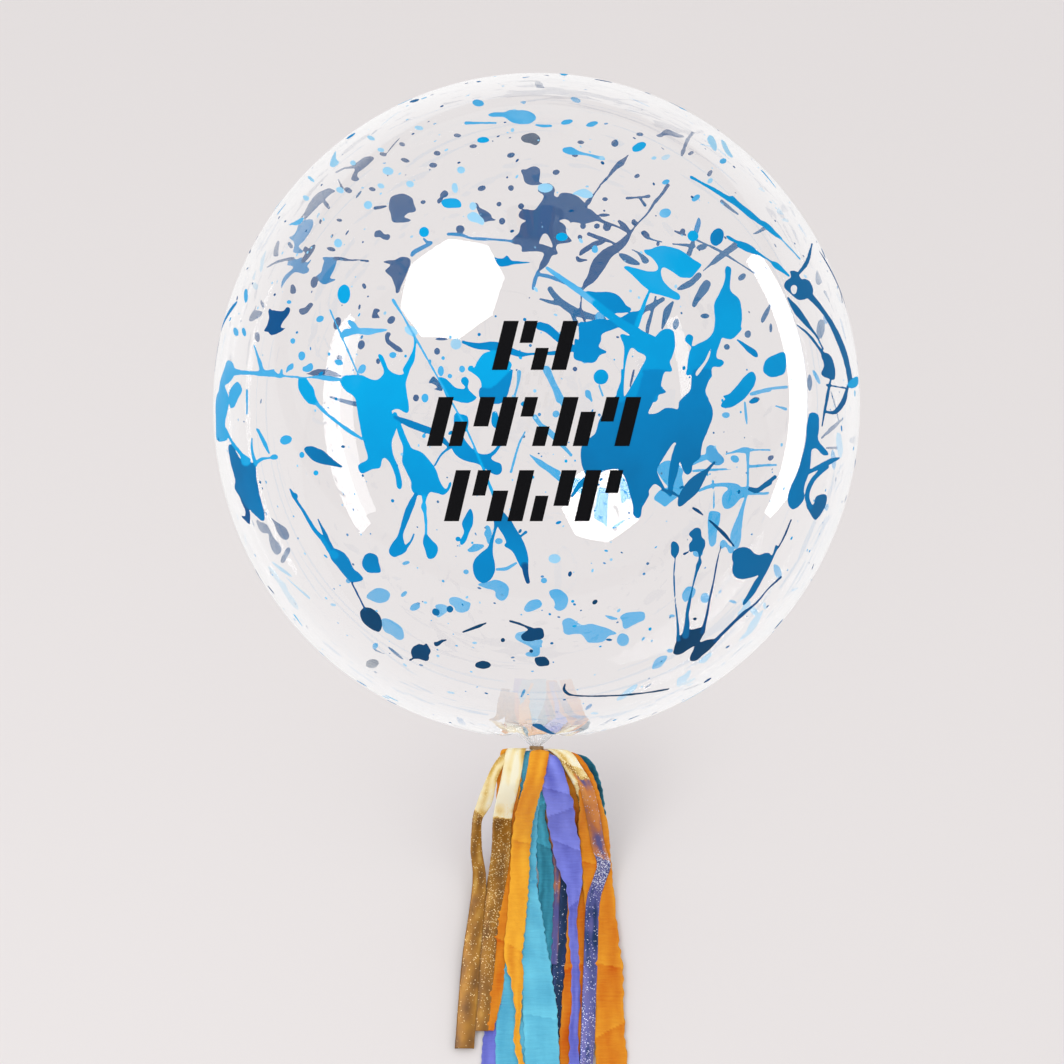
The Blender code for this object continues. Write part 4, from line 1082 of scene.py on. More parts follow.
BACK_DROPS = {
    "slate": (
        (391, 320, 9, 7, 45), (361, 345, 7, 10, -20), (339, 358, 5, 5, 0), (378, 361, 4, 6, 0), (337, 323, 7,
        13, -15), (441, 339, 12, 3, 0), (437, 351, 6, 7, 0), (416, 398, 6, 7, 0), (521, 206, 6, 6, 0), (499,
        204, 5, 5, 0), (502, 221, 6, 7, -15), (511, 188, 6, 6, 0), (482, 188, 8, 5, 15), (423, 202, 5, 4, 0),
        (460, 229, 9, 8, 0), (580, 237, 5, 5, 0), (583, 226, 6, 6, 0), (473, 146, 8, 4, 0), (457, 135, 8, 4,
        -10), (437, 153, 7, 5, -10), (433, 165, 8, 5, 0), (405, 160, 8, 4, -15), (511, 155, 8, 5, 15), (556,
        172, 7, 5, 15), (581, 142, 7, 4, 0), (575, 155, 6, 4, 0), (605, 199, 6, 4, 0), (604, 215, 12, 3, 0),
        (597, 226, 6, 5, 20), (607, 227, 8, 8, 0), (634, 222, 5, 6, 0), (575, 369, 5, 5, 0), (683, 231, 5, 6,
        0), (326, 204, 4, 11, 35), (290, 245, 4, 8, 35), (306, 250, 5, 8, 20), (314, 282, 7, 12, -10), (293,
        289, 5, 10, 15), (364, 286, 4, 6, 25), (331, 249, 9, 4, -15), (348, 190, 8, 5, -25), (372, 189, 7, 4,
        -15), (383, 154, 8, 4, -15), (402, 144, 7, 4, -25), (405, 160, 8, 3, -15), (339, 220, 6, 3, -10),
        (262, 304, 3, 8, 18), (257, 337, 5, 11, 8), (337, 323, 6, 12, -18), (292, 291, 4, 6, 0), (340, 358, 5,
        6, 0), (283, 559, 5, 9, -22), (640, 134, 7, 4, 0), (615, 143, 7, 8, -30), (637, 176, 6, 4, 25), (691,
        153, 7, 3, 30), (710, 173, 4, 8, -35),
    ),
    "pale": (
        (456, 344, 11, 11, 0), (555, 560, 11, 9, 0), (754, 611, 6, 12, 40), (765, 606, 3, 8, 15), (554, 560,
        11, 9, 0),
    ),
    "sky": (
        (499, 541, 8, 6, 0), (466, 572, 6, 5, 0), (415, 607, 11, 7, 25), (406, 563, 8, 4, 15), (404, 594, 8,
        4, 45), (544, 582, 5, 5, 0), (623, 640, 12, 13, 0), (698, 553, 10, 8, 0), (705, 598, 9, 10, 0), (670,
        651, 6, 4, 0), (672, 616, 6, 3, 0), (733, 602, 8, 3, -15), (778, 572, 7, 16, 20), (726, 415, 8, 6, 0),
        (735, 459, 9, 7, -30), (556, 414, 7, 7, 0), (544, 582, 6, 5, 0), (600, 317, 9, 11, 0), (585, 361, 7,
        5, 0), (588, 394, 6, 8, 0), (348, 581, 5, 5, 0),
    ),
    "dusk": (
        (702, 247, 11, 6, 10), (676, 324, 6, 11, -10), (705, 316, 9, 5, 0), (742, 277, 9, 6, 40), (727, 347,
        6, 6, 0), (748, 334, 6, 7, 0), (286, 554, 5, 15, -25), (821, 273, 9, 24, -12), (821, 329, 8, 20, -5),
        (810, 383, 5, 16, 0), (755, 400, 10, 5, 15), (771, 458, 7, 5, 35), (771, 328, 3, 9, 0), (748, 334, 6,
        8, -25),
    ),
    "mist": (
        (255, 286, 5, 8, 25), (840, 445, 6, 26, 5), (666, 157, 9, 5, 20), (786, 220, 8, 3, -15),
    ),
    "navy": (
        (372, 664, 13, 9, 10),
    ),
}
FRONT_GAPS = (
    (711, 348, 709, 358, 703, 368, 697, 376, 696, 372, 704, 362, 708, 354),
    (631, 348, 638, 352, 646, 357, 641, 368, 633, 383, 627, 393, 624, 396, 624, 382, 626, 362),
    (791, 287, 794, 285, 797, 287, 796, 293, 793, 294, 791, 291),
)
BACK_GAPS = (
    (539, 243, 543, 234, 548, 235, 553, 247, 548, 246, 542, 244),
    (559, 221, 565, 219, 570, 222, 567, 228, 564, 224),
)


def paint_side(field, blots, runs, drops, gaps):
    """Lays one side's broad shapes, then its strokes and drops, and clears the gaps."""
    for shapes, measure in ((blots, field.outline), (runs, field.run), (drops, field.drop)):
        for tone, rows in shapes.items():
            for numbers in rows:
                field.paint(*measure(numbers), TONES[tone])
    lower = (field.pixels[..., 1] - GRADE_MIDDLE) / GRADE_REACH
    field.shade += GRADE * np.exp(-lower * lower)
    for numbers in gaps:
        where, gap = field.outline(numbers)
        field.distance[where] = np.maximum(field.distance[where], -gap)


# Seeded splashes round the sides: sizes and margin in metres, stretch, chances and shades
SPLASH_LEAST = 0.0012
SPLASH_SPREAD = 0.0040
SPLASH_MARGIN = 0.008
SPLASH_STRETCH = (0.2, 3.5)
LONG_STRETCH = 3.0
LONG_CHANCE = 0.2
SWELLING_CHANCE = 0.7
SPLASH_SHADES = (0.1, 0.3, 0.45, 0.7, 0.85)
SPLASH_CHANCES = (0.2, 0.2, 0.2, 0.2, 0.2)
SPLASH_FRONT_START = math.radians(74.0)
SPLASH_BACK_START = math.radians(62.0)


def splash_rim(field, nearest, furthest, count, seed):
    """Small swelling strokes and tailed drops round the side, at angles from the side's middle."""
    rng = np.random.default_rng(seed)
    for _ in range(count):
        angle = rng.uniform(nearest, furthest)
        turn = rng.uniform(0, 2 * math.pi)
        middle = field.unit(np.array(angle * math.cos(turn)), np.array(angle * math.sin(turn)))
        way = rng.normal(size=3)
        way = direction(way - middle * (way @ middle))
        size = SPLASH_LEAST + SPLASH_SPREAD * rng.random() ** 3
        length = size * rng.uniform(*SPLASH_STRETCH) * (1.0 + LONG_STRETCH * (rng.random() < LONG_CHANCE))
        shade = rng.choice(SPLASH_SHADES, p=SPLASH_CHANCES)
        where = np.nonzero(field.units @ middle > math.cos((length + size + SPLASH_MARGIN) / (WIDTH / 2)))
        here = (field.units[where] - middle) * (WIDTH / 2)
        share = np.clip(here @ way / length, -1.0, 1.0)
        swelling = rng.random() < SWELLING_CHANCE
        half = size * np.sqrt(1.02 - share**2 if swelling else 0.15 + 0.2 * (share + 1.0) ** 2)
        gap = np.linalg.norm(here - (share * length)[:, None] * way, axis=1) - half
        field.paint(where, gap, shade)


# Seeded tiny drops: sizes in metres and stretch, then places in shares of the balloon's half width
DROP_SIDES = 10
DROP_LEAST = 0.0006
DROP_SPREAD = 0.0011
DROP_STRETCH = 1.2
DROP_EDGE = 0.97
UPPER_END = -0.25
UPPER_SHADES = (0.1, 0.8)
LOWER_SHADES = (0.12, 0.3, 0.46, 0.6)
SOFTBOX_SPOT = (-0.265, -0.350)
SOFTBOX_CLEAR = 0.18


def make_drops(name, material, front, count, seed):
    """Tiny round and oval drops as flat domes, kept off the mirrored softbox and the neck."""
    rng = np.random.default_rng(seed)
    points, faces, shades = [], [], []
    for _ in range(count):
        away = math.sqrt(rng.uniform(0.0, DROP_EDGE))
        turn = rng.uniform(0, 2 * math.pi)
        depth = math.sqrt(1.0 - away * away) * (1 if front else -1)
        middle = np.array([away * math.cos(turn), away * math.sin(turn), depth])
        shade = rng.choice(UPPER_SHADES if middle[1] < UPPER_END else LOWER_SHADES)
        way = direction(np.cross(middle, rng.normal(size=3)))
        side = np.cross(middle, way)
        size = (DROP_LEAST + DROP_SPREAD * rng.random() ** 2) / (WIDTH / 2)
        stretch = 1.0 + DROP_STRETCH * rng.random() ** 3
        from_softbox = math.hypot(middle[0] - SOFTBOX_SPOT[0], middle[1] - SOFTBOX_SPOT[1])
        if from_softbox < SOFTBOX_CLEAR or neck_gap(middle) > 0.0:
            continue
        first = len(points)
        ring = [middle]
        for k in range(DROP_SIDES):
            angle = 2 * math.pi * k / DROP_SIDES
            ring.append(middle + way * size * stretch * math.cos(angle) + side * size * math.sin(angle))
            faces.append((first, first + 1 + k, first + 1 + (k + 1) % DROP_SIDES))
        lift = np.full(len(ring), PAINT_LIFT)
        lift[0] += PAINT_BODY
        points.extend(film_point(unit_rows(np.array(ring)), lift))
        shades.extend([shade] * len(ring))
    lay_paint(name, np.array(points), faces, material, shades)


def make_paint():
    """All paint on the film: the photograph's splashes, further ones round the sides, and drops."""
    blue = paint_material()
    front = PaintField(True, PAINT_FRONT_REACH, PAINT_FRONT_CELL, 11)
    paint_side(front, FRONT_BLOTS, FRONT_RUNS, FRONT_DROPS, FRONT_GAPS)
    splash_rim(front, SPLASH_FRONT_START, PAINT_FRONT_REACH, 120, 12)
    front.mesh("paint_front", blue)
    back = PaintField(False, PAINT_BACK_REACH, PAINT_BACK_CELL, 21)
    paint_side(back, BACK_BLOTS, BACK_RUNS, BACK_DROPS, BACK_GAPS)
    splash_rim(back, SPLASH_BACK_START, PAINT_BACK_REACH, 50, 22)
    back.mesh("paint_back", blue)
    make_drops("paint_drops_front", blue, True, 300, 31)
    make_drops("paint_drops_back", blue, False, 160, 32)


# Black strokes in three rows, where the photograph has lettering: each row's left and right edge,
# top and bottom, and its slanting bars as (middle, width, top, bottom), all but the width in shares
STROKE_ROWS = (
    (
        (495, 575, 321, 370),
        ((0.13, 15, 0.0, 1.0), (0.38, 13, 0.0, 0.45), (0.60, 13, 0.55, 1.0), (0.87, 15, 0.0, 1.0)),
    ),
    (
        (430, 638, 397, 446),
        (
            (0.05, 15, 0.0, 1.0), (0.15, 13, 0.5, 1.0), (0.25, 15, 0.0, 0.6), (0.36, 15, 0.0, 1.0),
            (0.46, 13, 0.0, 0.4), (0.55, 13, 0.6, 1.0), (0.65, 15, 0.0, 1.0), (0.75, 15, 0.3, 1.0),
            (0.85, 13, 0.0, 0.5), (0.95, 15, 0.0, 1.0),
        ),
    ),
    (
        (447, 623, 470, 521),
        (
            (0.06, 15, 0.0, 1.0), (0.18, 13, 0.0, 0.5), (0.30, 15, 0.4, 1.0), (0.42, 15, 0.0, 1.0),
            (0.54, 13, 0.5, 1.0), (0.66, 15, 0.0, 0.7), (0.80, 15, 0.0, 1.0), (0.93, 13, 0.0, 0.45),
        ),
    ),
)


def make_strokes(material):
    """Rows of short slanting vinyl bars, laid on the film."""
    units, faces = [], []
    for (left, right, top, bottom), bars in STROKE_ROWS:
        for middle, width, start, end in bars:
            faces += grid_faces(len(units), STROKE_ROWS_DOWN, STROKE_COLUMNS)
            for row in range(STROKE_ROWS_DOWN):
                share = start + (end - start) * row / (STROKE_ROWS_DOWN - 1)
                y = top + (bottom - top) * share
                centre = left + (right - left) * middle + STROKE_SLANT * (0.5 - share)
                for column in range(STROKE_COLUMNS):
                    units.append(on_film(centre + width * (column / (STROKE_COLUMNS - 1) - 0.5), y))
    points = film_point(np.array(units), STROKE_LIFT)
    make_mesh("black_strokes", points, faces, material)


# Tie and tassel


def make_tie(material):
    """Thread wound round the gathered neck in a few layers, with its ends tucked in."""
    top = HEIGHT / 2 + NECK_REACH
    steps = TIE_TURNS * STEPS_PER_TURN
    line = []
    for k in range(steps + 1):
        share = k / steps
        layer = k * TIE_LAYERS // (steps + 1)
        sweep = abs((share * TIE_LAYERS) % 2 - 1)
        radius = NECK_RADIUS + TOUCH_GAP + THREAD_RADIUS * (1.0 + LAYER_STEP * layer)
        angle = share * TIE_TURNS * 2 * math.pi
        down = top + THREAD_RADIUS + (TIE_LENGTH - 2 * THREAD_RADIUS) * sweep
        line.append((radius * math.sin(angle), down, radius * math.cos(angle)))
    line = np.array(line)
    out = unit_rows(line * np.array([1.0, 0.0, 1.0]))
    over = np.cross(unit_rows(np.gradient(line, axis=0)), out)
    points = []
    for k in range(len(line)):
        for side in range(THREAD_SIDES):
            angle = 2 * math.pi * side / THREAD_SIDES
            offset = out[k] * math.cos(angle) + over[k] * math.sin(angle)
            points.append(line[k] + offset * THREAD_RADIUS)
    faces = [(a, d, c, b) for a, b, c, d in grid_faces(0, len(line), THREAD_SIDES, True)]
    faces.append(tuple(range(THREAD_SIDES))[::-1])
    faces.append(tuple(range(len(points) - THREAD_SIDES, len(points))))
    make_mesh("tie_thread", laid(points), faces, material, ["neck_tie"])


# Strips: their fineness and thickness, and the least heights over their place and over the floor
SECTION_STEP = 0.5 * MM
STRIP_STEP = 0.0014
SHEET_THICKNESS = 0.00022
BASE_LIFT = 0.0004
LEAST_LIFT = 0.0002
LEAST_HEIGHT = 0.0001

# Places below the tie, in metres, by which a strip spreads, settles and loses its gathers
SPREAD_START = 0.0035
SPREAD_END = 0.075
TOP_SPREAD = 0.016
SETTLED = 0.020
GATHERS_START = 0.004
GATHERS_END = 0.050
PERCH_START = 0.006
SHOULDER = 0.005

# Relief of a strip: wavelengths and heights in metres
EDGE_WAVES = (0.010, 0.030)
RIDGE_WAVES = (0.0052, 0.011)
FOLD_WAVE = 0.009
FOLD_HEIGHT = 0.0004
RIDGE_HEIGHT = 0.0002
CREASE_HEIGHT = 0.0009
CREASE_REACH = 0.005
CREASE_SHADE_REACH = 0.006
CREASE_LIGHT = 0.16
CREASE_DARK = -0.22

# Tones of a strip: a light edge on crepe paper, and painted light and shade on the folds, all along it and at
# its top
EDGE_TONE = 0.22
EDGE_FADE = 22.0
FOLD_LIGHT_AND_SHADE = 0.10
TOP_FOLD_LIGHT_AND_SHADE = 0.12

# Crinkles, ragged edge and arch in metres, and cells across: of crepe paper and of foil
CREPE_LOOKS = (0.00030, 0.00045, 0.0009, 20)
FOIL_LOOKS = (0.00008, 0.00005, 0.0006, 12)
LEAST_CREPE_EDGE = 0.0002


def strip_sections(node):
    """(down, left, right, low) rows of a strip's solid, read from its corners in the frame."""
    corners = np.array([vertex.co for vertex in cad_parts[node].data.vertices])
    rest = corners - np.array(TASSEL_TOP)
    down = rest @ np.array(NECKWARD)
    front = rest @ np.array(FRONTWARD)
    places = np.round(down / SECTION_STEP).astype(int)
    rows = []
    for place in np.unique(places):
        here = places == place
        rows.append((down[here].mean(), corners[here, 0].min(), corners[here, 0].max(), front[here].min()))
    return np.array(rows)


def strip_edges(rows, down, ahead, ragged, seed):
    """A strip's left and right edges at places down it, spread out early and a little ragged."""
    edges = []
    for side, column in ((-1, 1), (1, 2)):
        rough = ripple(down[:, None], EDGE_WAVES[0], seed + side)
        rough += 0.7 * ripple(down[:, None], EDGE_WAVES[1], seed + 3 * side)
        edge = np.interp(down + ahead, rows[:, 0], rows[:, column])
        edges.append(edge + rough * ragged * ease(down / SETTLED))
    return edges


def crumple(down, share, creases):
    """Height of a strip's cross creases at (down, share), and the light and shade beside them."""
    height, shading = 0.0 * down, 0.0 * down
    for place, lean in creases:
        off = down - place * MM - lean * MM * (share - 0.5)
        height = height + CREASE_HEIGHT * np.exp(-np.abs(off) / CREASE_REACH)
        side = np.where(off < 0.0, CREASE_LIGHT, CREASE_DARK)
        shading = shading + side * np.exp(-np.abs(off) / CREASE_SHADE_REACH)
    return height, shading


def strip_relief(down, share, looks, perch, creases, seed):
    """How far a strip's sheet stands over its place at (down, share), and the painted light and shade of its
    relief, with a lighter edge on crepe paper.
    """
    crinkle, ragged, arch, _ = looks
    rise = ease(down / SETTLED)
    top = 1.0 - ease(down / GATHERS_END)
    bow = (1.0 - (2 * share - 1.0) ** 2) * arch * rise
    along = np.stack([down, share * 0.02], axis=-1)
    ridges = ripple(along, RIDGE_WAVES[0], seed + 11) * 0.5 + ripple(along, RIDGE_WAVES[1], seed + 12) * 0.5
    folds = ripple(np.stack([down * 0.22, share * 0.016], axis=-1), FOLD_WAVE, seed + 13)
    gathers = (folds * FOLD_HEIGHT + ridges * RIDGE_HEIGHT) * top * ease(down / GATHERS_START)
    height, shading = crumple(down, share, creases)
    lift = bow + ridges * crinkle * rise + gathers + height * rise
    lift += BASE_LIFT + crinkle
    lift = np.maximum(lift, LEAST_LIFT) + perch * MM * (ease(down / PERCH_START) * top)
    edges = np.exp(-share * EDGE_FADE) + np.exp(-(1.0 - share) * EDGE_FADE)
    # Painted light and shade beside the creases and on the folds, with a lighter edge on crepe paper.
    tone = shading + EDGE_TONE * edges * (ragged > LEAST_CREPE_EDGE)
    return lift, tone + folds * FOLD_LIGHT_AND_SHADE + folds * TOP_FOLD_LIGHT_AND_SHADE * top


def map_strip(piece, flat):
    """Gives a strip's sheet its own flat map, from a pair of metres for each of its points."""
    corners = np.zeros(len(piece.data.loops), dtype=np.int32)
    piece.data.loops.foreach_get("vertex_index", corners)
    layer = piece.data.uv_layers.new(name="strip")
    layer.data.foreach_set("uv", flat[corners].astype(np.float32).ravel())


def make_strip(node, material, looks):
    """One strip of the tassel, as a fine sheet that follows its solid and spreads at once from the tie."""
    light_and_shade_down, specks, creases = STRIP_LOOKS[node]
    perch, shoulder = TOP_PLACES.get(node, (0.0, 0.0))
    rows = strip_sections(node)
    seed = sum(ord(letter) for letter in node)
    rng = np.random.default_rng(seed)
    steps = int((rows[-1, 0] - rows[0, 0]) / STRIP_STEP)
    line = np.linspace(rows[0, 0], rows[-1, 0], steps + 1)
    ahead = TOP_SPREAD * rng.uniform(0.6, 1.1) * (1.0 - np.exp(-line / SPREAD_START))
    left, right = strip_edges(rows, line, ahead * (1.0 - ease(line / SPREAD_END)), looks[1], seed)
    down, share = np.meshgrid(line, np.linspace(0.0, 1.0, looks[3] + 1), indexing="ij")
    lift, relief_light_and_shade = strip_relief(down, share, looks, perch, creases, seed)
    across = left[:, None] + (right - left)[:, None] * share
    over = down - shoulder * MM * np.exp(-(((down - SHOULDER) / SHOULDER) ** 2))
    low = np.interp(line, rows[:, 0], rows[:, 3])
    face = unit_rows(np.stack([0 * line, -np.gradient(low, line), 1 + 0 * line], axis=1))
    base = np.stack([across, over, low[:, None] + 0 * across], axis=-1)
    world = (base + face[:, None, :] * lift[..., None]).reshape(-1, 3) @ AXES
    world += np.array([0.0, *TASSEL_TOP[1:]])
    world[:, 2] = np.maximum(world[:, 2], LEAST_HEIGHT)
    faces = grid_faces(0, *down.shape)
    piece = make_mesh(node + "_sheet", world, faces, material, [node])
    flat = np.stack([across, down], axis=-1).reshape(-1, 2)
    map_strip(piece, flat - np.array([rng.uniform(-0.3, 0.3), rng.uniform(-0.3, 0.3)]))
    # The tone kept on each point is painted light and shade: lighter and darker stretches down the strip, and
    # its creases and folds.
    keep_values(piece, "tone", np.interp(down / MM, *zip(*light_and_shade_down)) + relief_light_and_shade)
    keep_values(piece, "glitter", np.interp(down / MM, *zip(*specks)))
    thick = piece.modifiers.new("paper", "SOLIDIFY")
    thick.thickness = SHEET_THICKNESS
    thick.offset = 0.0


STRIP_NODES = {
    "orange_crepe": ("orange_strip_inner", "orange_strip_outer", "orange_strip_left", "orange_strip_front"),
    "sky_crepe": ("sky_strip_back", "sky_strip_front"),
    "teal_crepe": ("teal_strip_right", "teal_strip_front"),
    "violet_crepe": ("violet_strip_back", "violet_strip_front"),
    "gold_foil": ("gold_ribbon_left", "gold_ribbon_front", "gold_ribbon_right"),
    "night_foil": ("navy_ribbon", "mauve_ribbon", "purple_ribbon"),
}

# At the tie, in millimetres: how far a strip stands over its place, and how far it loops up first
TOP_PLACES = {
    "gold_ribbon_front": (2.0, 6.0),
    "orange_strip_left": (0.0, 5.5),
    "orange_strip_front": (2.0, 3.0),
    "gold_ribbon_left": (0.0, 2.0),
    "gold_ribbon_right": (4.0, 4.5),
    "mauve_ribbon": (1.0, 2.0),
    "orange_strip_outer": (0.0, 2.5),
    "teal_strip_right": (2.0, 0.0),
    "violet_strip_front": (0.0, -2.0),
}
NO_GLITTER = ((0, 0.0), (400, 0.0))

# Down each strip, in millimetres from the tie: (place, tone) of its painted light and shade, from dark
# to light, (place, share of glitter), and (place, lean) of the creases across it
STRIP_LOOKS = {
    "orange_strip_inner": (
        ((0, 0.30), (60, 0.40), (150, 0.30), (230, 0.16), (340, 0.12)),
        NO_GLITTER,
        ((118, 6), (205, -8)),
    ),
    "orange_strip_outer": (
        ((0, 0.20), (40, 0.36), (120, 0.34), (336, 0.40)),
        NO_GLITTER,
        ((112, 8), (205, 5), (262, -14)),
    ),
    "orange_strip_left": (((0, 0.42), (60, 0.40), (150, 0.36), (262, 0.30)), NO_GLITTER, ((180, 10),)),
    "orange_strip_front": (
        ((0, 0.55), (50, 0.52), (120, 0.86), (190, 0.84), (200, 0.74), (322, 0.78)),
        NO_GLITTER,
        ((88, 5), (188, 9)),
    ),
    "sky_strip_back": (((0, 0.30), (150, 0.42), (345, 0.40)), NO_GLITTER, ((210, 6),)),
    "sky_strip_front": (
        ((0, 0.30), (60, 0.40), (120, 0.56), (350, 0.62)),
        NO_GLITTER,
        ((130, -6), (250, 5)),
    ),
    "teal_strip_right": (
        ((0, 0.10), (40, 0.14), (120, 0.30), (210, 0.34)),
        NO_GLITTER,
        ((28, 9), (60, -7)),
    ),
    "teal_strip_front": (
        ((0, 0.62), (40, 0.78), (80, 0.66), (110, 0.40), (235, 0.34)),
        NO_GLITTER,
        ((52, -8), (92, 9)),
    ),
    "violet_strip_back": (((0, 0.3), (350, 0.46)), NO_GLITTER, ((240, 6),)),
    "violet_strip_front": (
        ((0, 0.50), (60, 0.62), (150, 0.54), (235, 0.42), (330, 0.36)),
        NO_GLITTER,
        ((36, 9), (58, -10), (92, 12), (150, -8)),
    ),
    "gold_ribbon_left": (
        ((0, 0.62), (52, 0.84), (62, 0.50), (70, 0.30), (277, 0.20)),
        ((0, 0.08), (60, 0.10), (100, 0.02), (200, 0.03), (277, 0.01)),
        ((60, 8),),
    ),
    "gold_ribbon_front": (
        ((0, 0.66), (14, 0.96), (44, 1.1), (58, 0.76), (63, 1.0), (66, 0.30), (140, 0.22), (262, 0.22)),
        ((0, 0.10), (10, 0.0), (50, 0.0), (60, 0.20), (75, 0.03), (100, 0.09), (190, 0.06), (262, 0.02)),
        ((64, 5),),
    ),
    "gold_ribbon_right": (
        ((0, 0.80), (30, 0.62), (60, 0.34), (230, 0.3)),
        ((0, 0.22), (230, 0.10)),
        ((12, 8), (26, -9), (44, 7)),
    ),
    "navy_ribbon": (
        ((0, 0.46), (60, 0.52), (110, 0.42), (140, 0.10), (268, 0.02)),
        ((0, 0.01), (150, 0.02), (268, 0.01)),
        (),
    ),
    "mauve_ribbon": (
        ((0, 0.74), (60, 0.94), (110, 0.70), (204, 0.52)),
        ((0, 0.01), (204, 0.01)),
        (),
    ),
    "purple_ribbon": (
        ((0, 0.96), (60, 0.92), (100, 0.72), (112, 0.58), (140, 0.36), (180, 0.28), (240, 0.48), (325, 0.56)),
        ((0, 0.01), (96, 0.02), (108, 0.32), (124, 0.28), (140, 0.03), (200, 0.03), (260, 0.07), (325, 0.09)),
        ((106, 6),),
    ),
}

# Lit and shaded colours of each crepe paper, mixed by its painted light and shade
CREPE_COLOURS = {
    "orange_crepe": ((1.0, 0.49, 0.035), (0.60, 0.105, 0.0)),
    "sky_crepe": ((0.20, 0.74, 0.96), (0.035, 0.29, 0.52)),
    "teal_crepe": ((0.08, 0.50, 0.70), (0.002, 0.085, 0.14)),
    "violet_crepe": ((0.29, 0.33, 0.98), (0.050, 0.055, 0.40)),
}

# Colours of each foil from dark to light, picked by its painted light and shade
GOLD_STOPS = (
    (0.0, (0.14, 0.052, 0.002)),
    (0.35, (0.38, 0.165, 0.010)),
    (0.65, (0.76, 0.50, 0.12)),
    (0.85, (0.97, 0.82, 0.44)),
    (1.0, (1.0, 0.95, 0.72)),
)
NIGHT_STOPS = (
    (0.0, (0.001, 0.022, 0.072)),
    (0.22, (0.010, 0.036, 0.135)),
    (0.45, (0.105, 0.110, 0.340)),
    (0.65, (0.130, 0.110, 0.270)),
    (0.85, (0.640, 0.235, 0.065)),
    (1.0, (0.760, 0.310, 0.080)),
)
GOLD_SPECKS = (1.0, 0.82, 0.42)
NIGHT_SPECKS = (0.75, 0.78, 0.92)


def make_tassel():
    """Every strip with its paper or foil."""
    wrinkles = wrinkle_group()
    glitter = glitter_group()
    finishes = {slot: crepe_material(slot, wrinkles, *pair) for slot, pair in CREPE_COLOURS.items()}
    finishes["gold_foil"] = foil_material("gold_foil", glitter, GOLD_STOPS, GOLD_SPECKS, 0.40, 0.2)
    finishes["night_foil"] = foil_material("night_foil", glitter, NIGHT_STOPS, NIGHT_SPECKS, 0.46, 0.5)
    for slot, nodes in STRIP_NODES.items():
        looks = CREPE_LOOKS if slot in CREPE_COLOURS else FOIL_LOOKS
        for node in nodes:
            make_strip(node, finishes[slot], looks)


# Stage

CORNERS = ((-1, -1), (1, -1), (1, 1), (-1, 1))
FLOOR_HALF = 12.0
FLOOR_HEIGHT = -0.0005
FLOOR_COLOUR = (0.82, 0.790, 0.790)
CARD_HALF = 3.0
CARD_HEIGHT = -0.0002
CARD_COLOUR = (1.0, 0.99, 0.99)
CARD_STRENGTH = 0.97
OCTAGON_RADIUS = 0.52
LEFT_PANEL = (0.09, 0.70)
RIGHT_PANEL = (0.09, 0.62)
WORLD_COLOUR = (1.0, 0.985, 0.98)
WORLD_STRENGTH = 0.82
LIGHT_PASSES = 16
GLOSSY_PASSES = 6


def stage_plane(name, corners, colour, strength=None):
    """A flat stage piece, either plain and matt or shining into reflections alone."""
    mesh = bpy.data.meshes.new(name)
    mesh.from_pydata([tuple(corner) for corner in corners], [], [tuple(range(len(corners)))])
    material, tree, shader = new_material(name, 0.9, colour=colour)
    mesh.materials.append(material)
    piece = bpy.data.objects.new(name, mesh)
    bpy.context.scene.collection.objects.link(piece)
    if strength:
        shader.inputs["Base Color"].default_value = (0.0, 0.0, 0.0, 1.0)
        shader.inputs["Emission Color"].default_value = (*colour, 1.0)
        shader.inputs["Emission Strength"].default_value = strength
        material.cycles.emission_sampling = "NONE"
        light_path = add(tree, "ShaderNodeLightPath")
        join(tree, light_path.outputs["Glossy Depth"], shader.inputs["Alpha"])
        piece.visible_camera = False
        pass_light(piece)


def floor_square(half, height):
    """Corners of a level square round the origin."""
    return [(x * half, y * half, height) for x, y in CORNERS]


def panel(half_width, half_height):
    """Corners of an upright panel round its middle."""
    return [(x * half_width, y * half_height) for x, y in CORNERS]


def facing(name, x, y, distance, shape, strength):
    """A shining panel that the film mirrors at a pixel of the photograph, with its outline as given."""
    place = on_film(x, y) * HALVES
    normal = direction(place / HALVES**2)
    camera = np.array([*(PHOTO_MIDDLE - np.array(PHOTO_BALLOON)) * PIXEL, CAMERA_REACH])
    view = direction(camera - place)
    away = 2 * (normal @ view) * normal - view
    middle = place + away * distance
    up = np.array([0.0, 1.0, 0.0])
    up = direction(up - away * (up @ away))
    side = np.cross(up, away)
    corners = [middle + side * across + up * down for across, down in shape]
    stage_plane(name, laid(corners), (1.0, 1.0, 1.0), strength)


def area_light(name, place, aim, size, watts):
    """A soft square studio light."""
    data = bpy.data.lights.new(name, "AREA")
    data.shape = "SQUARE"
    data.size = size
    data.energy = watts
    light = bpy.data.objects.new(name, data)
    light.location = place
    light.visible_glossy = False
    light.visible_transmission = False
    light.rotation_euler = (Vector(aim) - Vector(place)).to_track_quat("-Z", "Y").to_euler()
    bpy.context.scene.collection.objects.link(light)


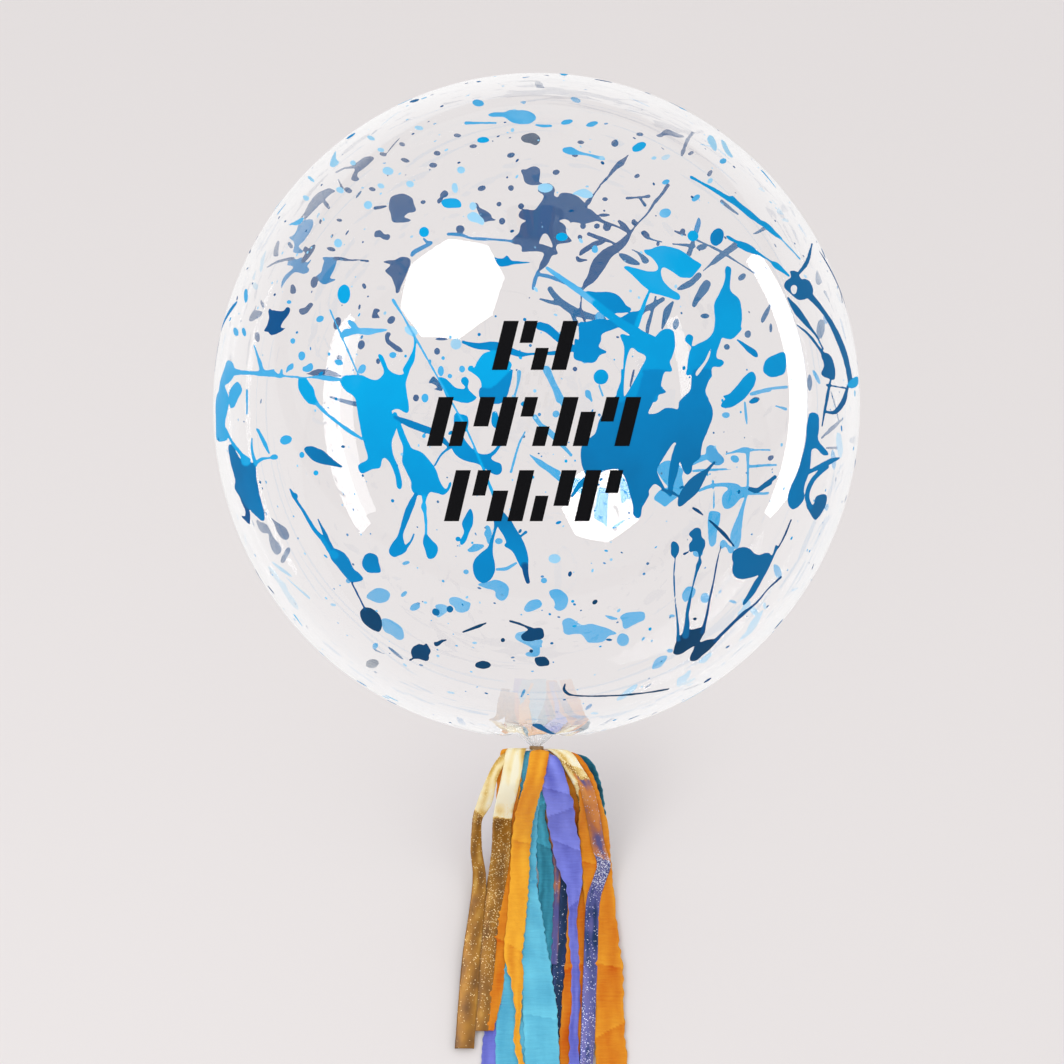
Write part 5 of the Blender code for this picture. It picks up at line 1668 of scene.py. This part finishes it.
def make_stage():
    """Floor, lights and the panels that the film mirrors."""
    stage_plane("floor", floor_square(FLOOR_HALF, FLOOR_HEIGHT), FLOOR_COLOUR)
    stage_plane("rim_card", floor_square(CARD_HALF, CARD_HEIGHT), CARD_COLOUR, CARD_STRENGTH)
    turns = [math.pi * (k / 4 + 0.125) for k in range(8)]
    octagon = [(OCTAGON_RADIUS * math.cos(turn), OCTAGON_RADIUS * math.sin(turn)) for turn in turns]
    facing("octagon_softbox", 451, 288, 1.5, octagon, 9.5)
    facing("left_softbox", 345, 423, 1.3, panel(*LEFT_PANEL), 4.0)
    facing("right_softbox", 798, 384, 0.9, panel(*RIGHT_PANEL), 6.0)
    area_light("key_light", (-1.3, -1.6, 2.4), (0.0, -0.1, 0.1), 1.6, 17.0)
    area_light("fill_light", (1.8, -0.6, 2.2), (0.0, -0.2, 0.1), 2.2, 5.0)
    world = bpy.data.worlds.new("studio")
    world.use_nodes = True
    background = world.node_tree.nodes["Background"]
    background.inputs["Color"].default_value = (*WORLD_COLOUR, 1.0)
    background.inputs["Strength"].default_value = WORLD_STRENGTH
    bpy.context.scene.world = world


def make_camera():
    """Looks straight at the balloon's front, with the photograph's framing."""
    off_right = (PHOTO_MIDDLE - PHOTO_BALLOON[0]) * PIXEL
    off_neck = (PHOTO_MIDDLE - PHOTO_BALLOON[1]) * PIXEL
    target = CENTRE + RIGHT * off_right + NECKWARD * off_neck
    data = bpy.data.cameras.new("camera")
    data.lens = LENS
    data.sensor_width = SENSOR
    data.clip_end = CAMERA_END
    camera = bpy.data.objects.new("camera", data)
    turn = Matrix((RIGHT, -NECKWARD, FRONTWARD)).transposed().to_4x4()
    camera.matrix_world = Matrix.Translation(target + FRONTWARD * CAMERA_REACH) @ turn
    bpy.context.scene.collection.objects.link(camera)
    bpy.context.scene.camera = camera


def set_render():
    """Plain colours, and enough passes through the thin film."""
    scene = bpy.context.scene
    scene.view_settings.view_transform = "Standard"
    scene.view_settings.look = "None"
    scene.cycles.max_bounces = LIGHT_PASSES
    scene.cycles.transmission_bounces = LIGHT_PASSES
    scene.cycles.transparent_max_bounces = LIGHT_PASSES
    scene.cycles.glossy_bounces = GLOSSY_PASSES
    scene.cycles.caustics_reflective = False
    scene.cycles.caustics_refractive = False
    scene.cycles.use_denoising = True


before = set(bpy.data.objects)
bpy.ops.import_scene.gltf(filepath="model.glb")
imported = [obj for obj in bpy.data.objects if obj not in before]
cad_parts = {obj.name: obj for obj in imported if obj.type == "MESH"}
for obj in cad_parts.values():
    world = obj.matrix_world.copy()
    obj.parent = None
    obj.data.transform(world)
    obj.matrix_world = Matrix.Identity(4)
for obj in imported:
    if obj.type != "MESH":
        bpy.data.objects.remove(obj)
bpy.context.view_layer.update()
set_render()
make_camera()
make_film(film_material())
make_paint()
make_strokes(strokes_material())
make_tie(thread_material())
make_tassel()
make_stage()
